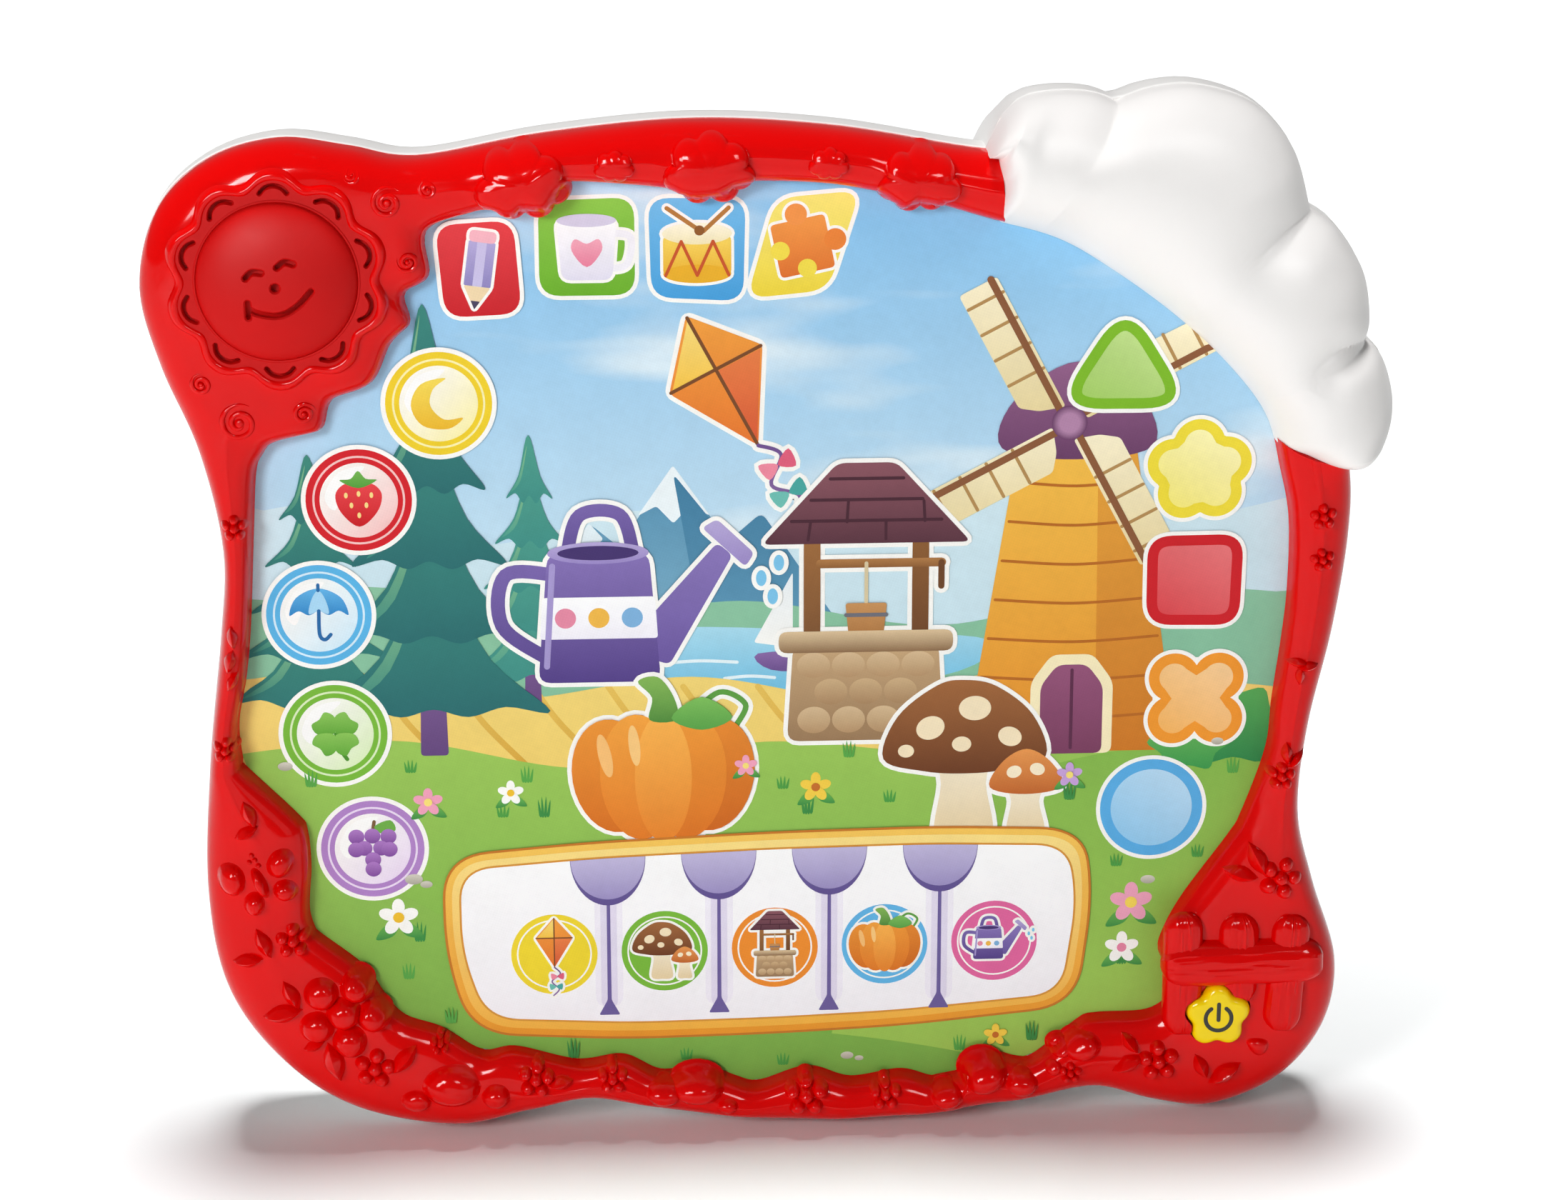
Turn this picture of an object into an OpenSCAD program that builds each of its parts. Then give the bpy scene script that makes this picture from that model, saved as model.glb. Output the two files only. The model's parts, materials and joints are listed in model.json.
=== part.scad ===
// Toy learning tablet that stands on its lower edge: a red moulded frame with a white cloud,
// a white rear shell, a printed touch panel, a speaker behind a sun and a battery box.
// Shapes are drawn facing the viewer, x to the right, y up and z out of the panel, and then stood up.

/* [Case] */
// Overall width from the upper left lobe to the cloud
case_w = 294; // [286:1:302]
// Height of the frame's top edge above the floor
case_h = 254; // [248:1:260]
// Thickness of the moulded walls
wall = 2.2; // [1.8:0.1:2.6]
// How far the rear shell stands outside the frame
shell_step = 0.3; // [0.1:0.1:0.6]
// Depth of the rear shell's straight side wall
rear_straight = 5; // [4:0.5:7]
// Depth of the rear shell's rounded edge
rear_round = 16; // [15:0.5:18]
// How far the rear shell draws in towards its flat back
rear_inset = 10; // [8:0.5:12]
// How far the round bottoms of the lobes are cut flat to stand on
base_cut = 1.5; // [1:0.1:2.5]

/* [Frame] */
// Height of the frame's crest above the parting plane
frame_crest = 13; // [12:0.5:15]
// Height of the frame's straight side wall
frame_side = 4; // [3:0.5:5]
// Run of the frame's rounded outer edge
frame_round = 8; // [6:0.5:10]
// Run of the rounded lip at the window
lip_round = 3; // [2:0.5:4]
// Drop of the lip below the crest
lip_drop = 2.2; // [1.5:0.1:3]
// How far the window's side wall leans in towards the panel
window_lean = 2.6; // [1.5:0.1:3.5]
// How far the raised figures stand above the crest
relief_rise = 2.4; // [1:0.1:3]

/* [Cloud] */
// Height of the cloud's crest above the parting plane
cloud_crest = 20; // [17:0.5:22]
// Gap between the cloud's ends and the frame
cloud_gap = 0.25; // [0.15:0.05:0.4]

/* [Touch panel] */
// Height of the printed surface above the parting plane
screen_z = 5.5; // [5:0.1:6.5]
// Gap between the printed surface and the frame's window wall
screen_gap = 0.3; // [0.2:0.05:0.5]
// Thickness of the printed sheet
overlay_t = 0.8; // [0.5:0.1:1.2]
// Thickness of the sensing sheet
membrane_t = 0.5; // [0.3:0.1:0.8]
// Thickness of the printed contact pads
pad_t = 0.2; // [0.1:0.05:0.3]
// Radius of the contact pads
pad_r = 8; // [6:0.5:9]
// Thickness of the tray behind the sheets
tray_t = 2; // [1.5:0.1:2.5]
// Width of the flat tail of the sensing sheet
tail_w = 16; // [10:1:20]
// Thickness of the flat tail
tail_t = 0.4; // [0.3:0.05:0.6]

/* [Speaker and sun] */
// Radius of the sun's dome
sun_r = 20; // [19:0.5:21]
// Rise of the sun's dome above its petals
sun_rise = 4.5; // [3:0.5:6]
// Radius over the tips of the sun's petals
petal_tip_r = 24.5; // [23.5:0.5:26]
// Thickness of the sun's petals
petal_t = 1.6; // [1:0.1:2]
// Radius of the speaker's flange
speaker_r = 20; // [19.5:0.5:20.5]
// Depth of the speaker's basket behind its flange
speaker_depth = 9; // [7:0.5:10]
// Radius of the speaker's magnet
magnet_r = 9; // [7:0.5:10]
// Thickness of the speaker's magnet
magnet_t = 5; // [4:0.5:6]
// Thickness of the gasket between speaker and frame
gasket_t = 0.6; // [0.4:0.1:1]

/* [Power button] */
// Radius of each of the button's five lobes
lobe_r = 3.6; // [3:0.1:4]
// Distance of the lobes from the button's middle
lobe_ring = 4.1; // [3.6:0.1:4.5]
// How far the button stands above the frame's crest
button_proud = 2.2; // [1.6:0.1:3]
// How far the button can be pressed
button_travel = 1.2; // [0.8:0.1:1.4]
// Gap around the button in its hole
button_gap = 0.35; // [0.25:0.05:0.5]

/* [Boards] */
// Width of the main circuit board
board_w = 64; // [56:1:70]
// Height of the main circuit board
board_h = 44; // [38:1:48]
// Thickness of the circuit boards
board_t = 1.6; // [1:0.1:2]
// Height of the posts that carry the main board
post_h = 8.8; // [7:0.1:10]
// Width of the small board behind the button
switch_board_w = 13; // [11:0.5:15]
// Distance between the small board's two screws
switch_pitch = 24; // [23:0.5:26]

/* [Batteries] */
// Diameter of a cell
cell_d = 14.5; // [14:0.1:14.8]
// Length of a cell with its nub
cell_l = 50.5; // [49:0.1:51]
// Number of cells
cells = 3; // [2:1:3]
// Length of the spring at a cell's flat end
spring_l = 6; // [5:0.5:8]
// Diameter of the spring's wire
spring_wire = 0.9; // [0.6:0.1:1]
// Turns in a spring
spring_turns = 3; // [2:1:3]
// Thickness of the contact plates
contact_t = 0.4; // [0.3:0.1:0.6]
// Wall of the battery box
box_wall = 1.6; // [1.2:0.1:2]
// Length of the door past the cells, where its screw is
door_tail = 14; // [13:0.5:18]
// Gap around the battery door
door_gap = 0.3; // [0.2:0.05:0.5]

/* [Screws and wires] */
// Radius of the case screws' shafts
screw_r = 1.3; // [1.1:0.05:1.5]
// Radius of the case screws' heads
head_r = 2.7; // [2.4:0.1:3]
// Radius of the small screws' shafts
small_screw_r = 0.9; // [0.8:0.05:1]
// Radius of the small screws' heads
small_head_r = 1.9; // [1.7:0.1:2.1]
// Length of the screws' grip in their posts
screw_grip = 7; // [5:0.5:8]
// Radius of the wires
wire_r = 0.7; // [0.5:0.05:0.8]

/* [Hidden] */
$fn = 48;
// A small overlap that keeps cuts clean
eps = 0.01;

// Outer edge of the frame, anticlockwise from the right side
edge_points = [
    [135, 129], [138, 154], [137, 172], [131, 196], [119, 216], [100, 232], [75, 243], [46, 246.5],
    [14, 252], [-19, 254], [-53, 251], [-82, 246], [-98, 248.5], [-114, 250.5], [-130, 246], [-142, 235],
    [-147, 217], [-143, 198], [-135, 177], [-130.5, 153], [-132, 131], [-136, 99], [-138, 66], [-134, 40],
    [-122, 19], [-104, 5], [-80, -base_cut], [-62, 3], [-46, 6.5], [-22, 2], [6, -base_cut], [36, 0],
    [62, 3.5], [80, 6], [96, 1], [112, -base_cut], [128, 7], [138, 23], [139.5, 42], [133, 63],
    [128.5, 82], [130, 104]
];
// Wavy edge of the window, anticlockwise from the right side
window_points = [
    [122.5, 131], [123, 149], [121, 168], [117, 183], [107, 196], [94, 208], [79, 219], [66, 226.5],
    [54, 231.5], [40, 234.5], [25, 237], [11, 240], [-3, 240.5], [-17, 238.5], [-32, 240], [-46, 241],
    [-54, 235.5], [-66, 234], [-77, 231], [-80.5, 222], [-84.5, 213], [-89, 203], [-95, 194.5],
    [-104, 187], [-113, 182], [-120, 175], [-122, 163], [-123.5, 148], [-125, 133], [-127, 117],
    [-128, 105], [-124, 95.5], [-116, 87.5], [-112.5, 79], [-113, 63], [-108, 53], [-100, 45.5],
    [-95, 37], [-85, 30.5], [-72, 23.5], [-62, 23.5], [-50, 20], [-39, 21], [-26, 17], [-17, 18],
    [-4, 13.5], [7, 17], [19, 14], [29, 15.5], [39, 13.5], [51, 19.5], [62, 18.5], [70, 24.5], [78, 29],
    [90, 29.5], [97, 32], [98.5, 39], [95.5, 46], [98, 54], [107, 66.5], [116, 80.5], [120.5, 96],
    [122, 113]
];
// The cloud's four lobes, from its lower end up and over to its left end
lobe_points = [
    [[140, 169.5], [146, 177], [147, 187], [144, 196.5], [139.5, 200]],
    [[139.5, 200], [140.5, 206], [138.5, 217], [132, 227], [125.5, 231.5]],
    [[125.5, 231.5], [121, 246], [112, 256], [99, 260.5], [88, 260], [79.5, 257]],
    [[79.5, 257], [74, 259], [66, 259.5], [58, 258], [53, 253.5], [51.5, 250.5]]
];
// Where the cloud's two ends meet the frame
low_end_points = [[140, 169.5], [137, 170.8], [130.5, 171.5], [124, 174.5], [120.8, 178]];
top_end_points = [[54, 231.5], [52.5, 240], [51.5, 250.5]];

// The outlines are drawn in millimetres and stretched to the case's own width and height
drawn_w = max([for (l = lobe_points, p = l) p.x]) - min([for (p = edge_points) p.x]);
drawn_h = max([for (p = edge_points) p.y]);
function place(p) = [p.x * case_w / drawn_w, p.y * case_h / drawn_h];
mid = place([0, 130]);

function spline(a, b, c, d, t) =
    0.5 * (2 * b + (c - a) * t + (2 * a - 5 * b + 4 * c - d) * t * t + (3 * b - a - 3 * c + d) * t * t * t);
function closed_curve(p, n) = let (m = len(p)) [
    for (i = [0 : m - 1], k = [0 : n - 1])
        spline(p[(i + m - 1) % m], p[i], p[(i + 1) % m], p[(i + 2) % m], k / n)
];
function open_curve(p, n) = let (m = len(p)) [
    for (i = [0 : m - 2], k = [0 : i == m - 2 ? n : n - 1])
        spline(p[max(i - 1, 0)], p[i], p[i + 1], p[min(i + 2, m - 1)], k / n)
];
function placed(points) = [for (p = points) place(p)];

// Every outline is seen as a reach from the middle at an angle
full_turn = 360;
curve_steps = 6;
function bearing(q) = atan2(q.y - mid.y, q.x - mid.x);
function polar(path) = [for (q = path, turn = [-1, 0, 1]) [bearing(q) + turn * full_turn, norm(q - mid)]];
edge_table = polar(closed_curve(placed(edge_points), curve_steps));
window_table = polar(closed_curve(placed(window_points), curve_steps));
lobe_table = polar([for (l = lobe_points) each open_curve(placed(l), curve_steps)]);
low_end_table = polar(open_curve(placed(low_end_points), curve_steps));
top_end_table = polar(open_curve(placed(top_end_points), curve_steps));
cloud_from = bearing(place(low_end_points[0]));
cloud_to = bearing(place(top_end_points[2]));
low_end_to = bearing(place(low_end_points[4]));
top_end_from = bearing(place(top_end_points[0]));
// Least width of the cloud at its pointed ends
cloud_tip = 1.5;
function edge_reach(a) = lookup(a, edge_table);
function window_reach(a) = lookup(a, window_table);
function in_window(a) = a >= low_end_to && a <= top_end_from;
function cloud_inner(a) = a < low_end_to ? lookup(a, low_end_table)
    : a > top_end_from ? lookup(a, top_end_table) : window_reach(a);
function cloud_outer(a) = max(lookup(a, lobe_table), cloud_inner(a) + cloud_tip);
function over_cloud(a) = a >= cloud_from && a <= cloud_to;
function shell_reach(a) = shell_step + (over_cloud(a) ? max(edge_reach(a), cloud_outer(a)) : edge_reach(a));

// A point at a reach and height along a ray, never lower than the floor
function ray_point(a, reach, z, floor_y) =
    [mid.x + reach * cos(a), max(mid.y + reach * sin(a), floor_y), z];

// Depths
rear_depth = rear_straight + rear_round;
rear_floor = wall - rear_depth;
foot_z = screen_z + screen_gap;
lip_z = frame_crest - lip_drop;
membrane_z = screen_z - overlay_t - membrane_t;
tray_z = membrane_z - pad_t - tray_t;
sun_z = frame_crest + petal_t;
front_depth = max(cloud_crest, sun_z + sun_rise, frame_crest + button_proud);
stand_y = (front_depth - rear_depth) / 2;
module stand() {
    translate([0, stand_y, 0]) rotate([90, 0, 0]) children();
}

// Where things sit
sun_at = place([-115.3, 220]);
button_at = place([109, 31]);
board_at = place([78, 150]);
box_at = place([-6, 96]);
frame_screws = placed([[-96, 240], [-127, 192], [-118, 38], [0, 7.5], [122, 20], [130, 148]]);
cloud_screws = placed([[92, 238], [129, 202]]);
tray_screws_at = placed([[-62, 242], [33, 243.5], [129.5, 130], [55, 11.3], [-55, 13.5], [-124.5, 74]]);
tail_inset = 6;
tail_at = [board_at.x, board_at.y - board_h / 2 + tail_inset];
ring_zones = [[-78.7, 188], [-98.1, 164.7], [-108.5, 136.3], [-105.7, 106.1], [-97.7, 76.2]];
shape_zones = [[82.4, 195.4], [101.4, 168.7], [100.8, 141.1], [102.3, 111.2], [92.3, 83]];
tile_zones = [[-68.5, 219.9], [-43.5, 224.8], [-17.9, 223.7], [6.3, 225.3]];
key_pitch = 27;
key_y = 42;
key_zones = [for (k = [-2 : 2]) [key_pitch * k, key_y]];
zones = placed(concat(ring_zones, shape_zones, tile_zones, key_zones));

// Steps of the rounded edge, of the lip and of the hollow inside, in degrees
edge_turn = 30;
lip_turn = 45;
hollow_turn = 45;
// Largest shares of a narrow band that its rounded edge, its lip and one wall take
edge_share = 0.45;
lip_share = 0.25;
wall_share = 0.4;
// Cross-section of a shell edge: up the outside, over the crest, down the window wall and back underneath
function shell_section(outer, inner, crest, lip, run, lip_run, lean, foot) = concat(
    [[outer, 0]],
    [for (t = [0 : edge_turn : 90]) [outer - run * (1 - cos(t)), frame_side + (crest - frame_side) * sin(t)]],
    [for (t = [90 : -lip_turn : 0]) [inner + lip_run * (1 - cos(t)), lip + (crest - lip) * sin(t)]],
    let (skin = min(wall, wall_share * (outer - inner)))
        [[inner - lean, foot], [inner - lean + skin, foot], [outer - skin, 0]]
);
// Cross-section of the hollow inside it
function hollow_section(outer, inner, crest, lip, run, lip_run, lean, foot) = let (
    far = outer - wall,
    near = inner - lean + wall,
    top = crest - wall,
    low = lip - wall
) concat(
    [[far, -wall]],
    [for (t = [0 : hollow_turn : 90])
        [far - (run - wall / 2) * (1 - cos(t)), frame_side + (top - frame_side) * sin(t)]],
    [[inner + lip_run, top]],
    [[near + (low - foot) * lean / (lip - foot), max(low, foot)]],
    [[near, foot], [near, foot - wall]]
);

frame_rays = 136;
function frame_ray(i) = full_turn * i / frame_rays;
function frame_args(a) = let (outer = edge_reach(a), inner = window_reach(a), w = outer - inner)
    [outer, inner, min(frame_round, w * edge_share), min(lip_round, w * lip_share)];
function frame_section(a) = let (s = frame_args(a))
    shell_section(s[0], s[1], frame_crest, lip_z, s[2], s[3], window_lean, foot_z);
function frame_hollow(a) = let (s = frame_args(a))
    hollow_section(s[0], s[1], frame_crest, lip_z, s[2], s[3], window_lean, foot_z);

// A closed loop of sections: rows of points joined side by side
function loop_faces(rows, m) = [
    for (i = [0 : rows - 1], j = [0 : m - 1])
        let (k = (i + 1) % rows, n = (j + 1) % m)
            each [[i * m + j, i * m + n, k * m + n], [i * m + j, k * m + n, k * m + j]]
];
// An open strip of sections with a flat cap at each end
function strip_faces(rows, m) = concat(
    [
        for (i = [0 : rows - 2], j = [0 : m - 1])
            let (k = i + 1, n = (j + 1) % m)
                each [[i * m + j, i * m + n, k * m + n], [i * m + j, k * m + n, k * m + j]]
    ],
    [[for (j = [m - 1 : -1 : 0]) j]],
    [[for (j = [0 : m - 1]) (rows - 1) * m + j]]
);
// A stack of closed rings with a flat cap at each end
function stack_faces(rows, m) = concat(
    [
        for (i = [0 : rows - 2], j = [0 : m - 1])
            let (k = i + 1, n = (j + 1) % m)
                each [[i * m + j, k * m + n, i * m + n], [i * m + j, k * m + j, k * m + n]]
    ],
    [[for (j = [0 : m - 1]) j]],
    [[for (j = [m - 1 : -1 : 0]) (rows - 1) * m + j]]
);

module frame_solid() {
    rows = [for (i = [0 : frame_rays - 1]) frame_section(frame_ray(i))];
    polyhedron(
        [for (i = [0 : frame_rays - 1], p = rows[i]) ray_point(frame_ray(i), p.x, p.y, 0)],
        loop_faces(frame_rays, len(rows[0])));
}
module frame_inside() {
    rows = [for (i = [0 : frame_rays - 1]) frame_hollow(frame_ray(i))];
    polyhedron(
        [for (i = [0 : frame_rays - 1], p = rows[i]) ray_point(frame_ray(i), p.x, p.y, wall)],
        loop_faces(frame_rays, len(rows[0])));
}

// The cloud's own sections
cloud_rays = 46;
function cloud_ray(i) = cloud_from + (cloud_to - cloud_from) * i / (cloud_rays - 1);
// Width at which the cloud has its full height
cloud_full_w = 22;
// Shares of the cloud's width that its outer round and its lip take
cloud_edge_share = 0.55;
cloud_lip_share = 0.35;
function cloud_args(a) = let (
    outer = cloud_outer(a),
    inner = cloud_inner(a),
    w = outer - inner,
    rise = (cloud_crest - frame_crest) * min(1, sqrt(w / cloud_full_w))
) [
    outer, inner, frame_crest + rise,
    w * cloud_edge_share, w * cloud_lip_share, in_window(a) ? window_lean : 0
];
function cloud_section(a) = let (c = cloud_args(a))
    shell_section(c[0], c[1], c[2], lip_z, c[3], c[4], c[5], foot_z);
function cloud_hollow(a) = let (c = cloud_args(a))
    hollow_section(c[0], c[1], c[2], lip_z, c[3], c[4], c[5], foot_z);
// The hollow stops where the cloud gets too thin for it
hollow_trim = 4;
module cloud_solid() {
    rows = [for (i = [0 : cloud_rays - 1]) cloud_section(cloud_ray(i))];
    polyhedron(
        [for (i = [0 : cloud_rays - 1], p = rows[i]) ray_point(cloud_ray(i), p.x, p.y, 0)],
        strip_faces(cloud_rays, len(rows[0])));
}
module cloud_inside() {
    from = cloud_from + hollow_trim;
    to = cloud_to - hollow_trim;
    rays = [for (i = [0 : cloud_rays - 1]) from + (to - from) * i / (cloud_rays - 1)];
    rows = [for (a = rays) cloud_hollow(a)];
    polyhedron(
        [for (i = [0 : cloud_rays - 1], p = rows[i]) ray_point(rays[i], p.x, p.y, 0)],
        strip_faces(cloud_rays, len(rows[0])));
}
// The part of the frame's ring that the cloud takes up
module cloud_room() {
    reach = case_w;
    tip = [cloud_from - cloud_gap / 2, cloud_to + cloud_gap / 2];
    rays = concat([tip[0]], [for (i = [0 : cloud_rays - 1]) cloud_ray(i)], [tip[1]]);
    inner = [for (a = rays) cloud_inner(a) - cloud_gap - (in_window(a) ? 2 * window_lean : 0)];
    translate([0, 0, -wall])
        linear_extrude(cloud_crest + 2 * wall)
            polygon(concat(
                [for (i = [0 : len(rays) - 1]) mid + inner[i] * [cos(rays[i]), sin(rays[i])]],
                [for (i = [len(rays) - 1 : -1 : 0]) mid + reach * [cos(rays[i]), sin(rays[i])]]));
}

// The rear shell as a stack of rings, drawn in towards its flat back
shell_rays = 108;
shell_steps = [90 : -30 : 0];
function shell_ring(inset, drop, floor_y) = [
    for (i = [0 : shell_rays - 1])
        let (a = full_turn * i / shell_rays) ray_point(a, shell_reach(a) - inset, -drop, floor_y)
];
module shell_solid(skin, mouth, back, floor_y) {
    curve = back - rear_straight;
    rows = concat(
        [for (t = shell_steps)
            shell_ring(skin + rear_inset * (1 - cos(t)), rear_straight + curve * sin(t), floor_y)],
        [shell_ring(skin, -mouth, floor_y)]);
    polyhedron([for (r = rows) each r], stack_faces(len(rows), shell_rays));
}

// Posts and screws
boss_wall = 1.9;
small_boss_wall = 1.1;
boss_r = screw_r + boss_wall;
small_boss_r = small_screw_r + small_boss_wall;
pilot_gap = 0.15;
pilot_spare = 1;
head_t = 2;
small_head_t = 1.4;
small_grip = screw_grip - pilot_spare;
tower_seat = -screw_grip;
module post(p, r, from, to) {
    translate([p.x, p.y, from]) cylinder(r = r, h = to - from);
}
// Width and length of the cross in a screw's head, as shares of the head's radius
cross_w = 0.28;
cross_l = 1.3;
module screw(p, seat, grip, shaft, head, thick) {
    difference() {
        union() {
            post(p, shaft, seat - eps, seat + grip);
            post(p, head, seat - thick, seat);
        }
        for (turn = [0, 90])
            translate([p.x, p.y, seat - thick])
                rotate(turn)
                    cube([head * cross_l, head * cross_w, thick], center = true);
    }
}

// Raised figures on the frame, each a low mound that is sunk into the crest
mound_corners = 8;
module mound(p, rx, ry, rise) {
    sunk = rise / 2;
    translate([p.x, p.y, frame_crest - sunk])
        scale([rx, ry, rise + sunk])
            sphere(1, $fn = mound_corners);
}
flower_petals = 5;
petal_ring_share = 0.62;
petal_share = 0.4;
heart_share = 0.3;
petal_rise = 0.7 * relief_rise;
module flower(p, r) {
    for (k = [0 : flower_petals - 1])
        let (a = 90 + k * full_turn / flower_petals)
            mound(p + petal_ring_share * r * [cos(a), sin(a)], petal_share * r, petal_share * r, petal_rise);
    mound(p, heart_share * r, heart_share * r, relief_rise);
}
// Each puff of a raised cloud: its place and its half width and height, as shares of the cloud's width
puffs = [[0, 0, 0.3, 0.27], [-0.28, -0.1, 0.24, 0.19], [0.28, -0.08, 0.24, 0.2]];
module cloud_relief(p, w) {
    for (q = puffs)
        mound(p + w * [q[0], q[1]], w * q[2], w * q[3], relief_rise);
}
bar_taper = 0.75;
bar_sunk = 1;
bar_corners = 16;
module bar(a, b, r, rise) {
    hull()
        for (p = [a, b])
            translate([p.x, p.y, frame_crest - bar_sunk])
                cylinder(r1 = r, r2 = r * bar_taper, h = rise + bar_sunk, $fn = bar_corners);
}
// Ends of the fence's posts and rails and of the leaf stalks, places and radii of the rest
fence_posts = [[[102, 52], [103, 25]], [[115.5, 52], [116, 42]], [[129, 52], [126, 27]]];
fence_rails = [[[97, 47.5], [132, 46.5]], [[97, 43], [131.5, 42.5]]];
leaves = [
    [[-119, 36], [-128, 39]], [[-111, 29], [-113, 23]], [[121, 74], [116, 71]], [[-129, 128], [-128.5, 136]]
];
flowers = [
    [-107, 37, 9], [-124, 74, 7.5], [-83, 26, 4], [122, 67, 5], [7, 12.5, 5], [27, 12, 4.5], [89.5, 21.5, 6]
];
stones = [[-80, 13.5, 8, 6], [-21.5, 11.5, 8, 5.5], [50.5, 12.5, 7.5, 6], [71, 14, 4, 4]];
raised_clouds = [[-58, 245, 26], [-14, 247, 26], [31.5, 244, 22]];
post_half_w = 3.6;
rail_half_w = 2.3;
leaf_half_w = 1.4;
post_rise = 1.2 * relief_rise;
rail_rise = 1.5 * relief_rise;
leaf_rise = 0.5 * relief_rise;
module reliefs() {
    for (c = raised_clouds)
        cloud_relief(place(c), c[2]);
    for (f = flowers)
        flower(place(f), f[2]);
    for (s = stones)
        mound(place(s), s[2], s[3], relief_rise);
    for (f = fence_posts)
        bar(place(f[0]), place(f[1]), post_half_w, post_rise);
    for (r = fence_rails)
        bar(place(r[0]), place(r[1]), rail_half_w, rail_rise);
    for (l = leaves)
        bar(place(l[0]), place(l[1]), leaf_half_w, leaf_rise);
}

grille_seat = 1.5;
grille_hole_r = sun_r - grille_seat;
switch_shift = 1;
switch_drop = 1.5;
switch_screws = [for (s = [-1, 1]) button_at + [switch_shift, s * switch_pitch / 2]];
switch_top = tray_z - switch_drop;
speaker_z = frame_crest - wall - gasket_t;
flange_t = 1;
flange_gap = 0.1;
speaker_screw_ring = speaker_r + small_boss_r + flange_gap;
speaker_screws_at = [for (a = [20 : 120 : 260]) sun_at + speaker_screw_ring * [cos(a), sin(a)]];
tray_top = tray_z + tray_t;
tray_boss_wall = 1.7;
switch_boss_wall = 1.5;
tray_boss_r = small_screw_r + tray_boss_wall;
switch_boss_r = small_screw_r + switch_boss_wall;
post_corners = 14;
pilot_corners = 10;
tower_corners = 16;

module frame_posts() {
    $fn = post_corners;
    for (p = frame_screws)
        post(p, boss_r, 0, frame_crest);
    for (p = tray_screws_at)
        post(p, tray_boss_r, tray_top, frame_crest);
    for (p = switch_screws)
        post(p, switch_boss_r, switch_top, frame_crest);
    for (p = speaker_screws_at)
        post(p, small_boss_r, speaker_z - flange_t, frame_crest);
}
module frame_pilots() {
    $fn = pilot_corners;
    pilot = screw_r + pilot_gap;
    small = small_screw_r + pilot_gap;
    for (p = frame_screws)
        post(p, pilot, -eps, screw_grip + pilot_spare);
    for (p = tray_screws_at)
        post(p, small, tray_top - eps, tray_top + screw_grip - tray_t);
    for (p = switch_screws)
        post(p, small, switch_top - eps, switch_top + screw_grip);
    for (p = speaker_screws_at)
        post(p, small, speaker_z - flange_t - eps, frame_crest - wall / 2);
}

module front_frame() {
    color("#d8090c") stand() difference() {
        union() {
            frame_solid();
            reliefs();
        }
        difference() {
            frame_inside();
            frame_posts();
        }
        frame_pilots();
        cloud_room();
        post(sun_at, grille_hole_r, 0, frame_crest + wall);
        translate([button_at.x, button_at.y, 0])
            linear_extrude(frame_crest + 2 * wall)
                button_shape(button_gap);
    }
}

// Rear shell with its drafted screw towers, board posts and battery opening
cell_gap = 0.5;
end_gap = 0.1;
box_inner_l = cell_l + spring_l + 2 * contact_t + 2 * end_gap;
cell_pitch = cell_d + cell_gap;
box_inner_h = cells * cell_pitch + cell_gap;
box_depth = cell_d + cell_gap;
ledge = 2;
door_l = box_inner_l + 2 * ledge + door_tail;
door_h = box_inner_h + 2 * ledge;
door_mid = box_at + [door_tail / 2, 0];
door_screw_at = box_at + [box_inner_l / 2 + ledge + door_tail / 2, 0];
board_inset = 4;
board_posts = [for (sx = [-1, 1], sy = [-1, 1])
    board_at + [sx * (board_w / 2 - board_inset), sy * (board_h / 2 - board_inset)]];
board_z = rear_floor + post_h;
board_top = board_z + board_t;
stake_r = 1.5;
stake_gap = 0.1;
stake_inset = 4;
flange_w = 5;
stakes = [for (sx = [-1, 1], sy = [-1, 1])
    door_mid + [sx * (door_l / 2 + flange_w / 2 + door_gap), sy * (door_h / 2 - stake_inset)]];
tower_wall = 1.2;
tower_draft = 1;
head_gap = 0.4;

module shell_posts() {
    $fn = tower_corners;
    for (p = concat(frame_screws, cloud_screws))
        hull() {
            post(p, boss_r + tower_wall + tower_draft, rear_floor - wall, rear_floor);
            post(p, boss_r + tower_wall, tower_seat, 0);
        }
    for (p = board_posts)
        post(p, tray_boss_r, rear_floor - eps, board_z);
    for (p = stakes)
        post(p, stake_r, rear_floor - eps, rear_floor + wall);
}
module rear_shell() {
    color("#f1efee") stand() difference() {
        shell_solid(0, 0, rear_depth, 0);
        difference() {
            shell_solid(wall, wall, -rear_floor, wall);
            shell_posts();
        }
        for (p = concat(frame_screws, cloud_screws)) {
            post(p, head_r + head_gap, -rear_depth - wall, tower_seat, $fn = tower_corners);
            post(p, screw_r + pilot_gap, tower_seat - eps, wall, $fn = post_corners);
        }
        for (p = board_posts)
            post(p, small_screw_r + pilot_gap, board_z - screw_grip, board_z + eps, $fn = post_corners);
        translate([door_mid.x, door_mid.y, -rear_depth])
            cube([door_l + 2 * door_gap, door_h + 2 * door_gap, 3 * wall], center = true);
    }
}

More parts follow.
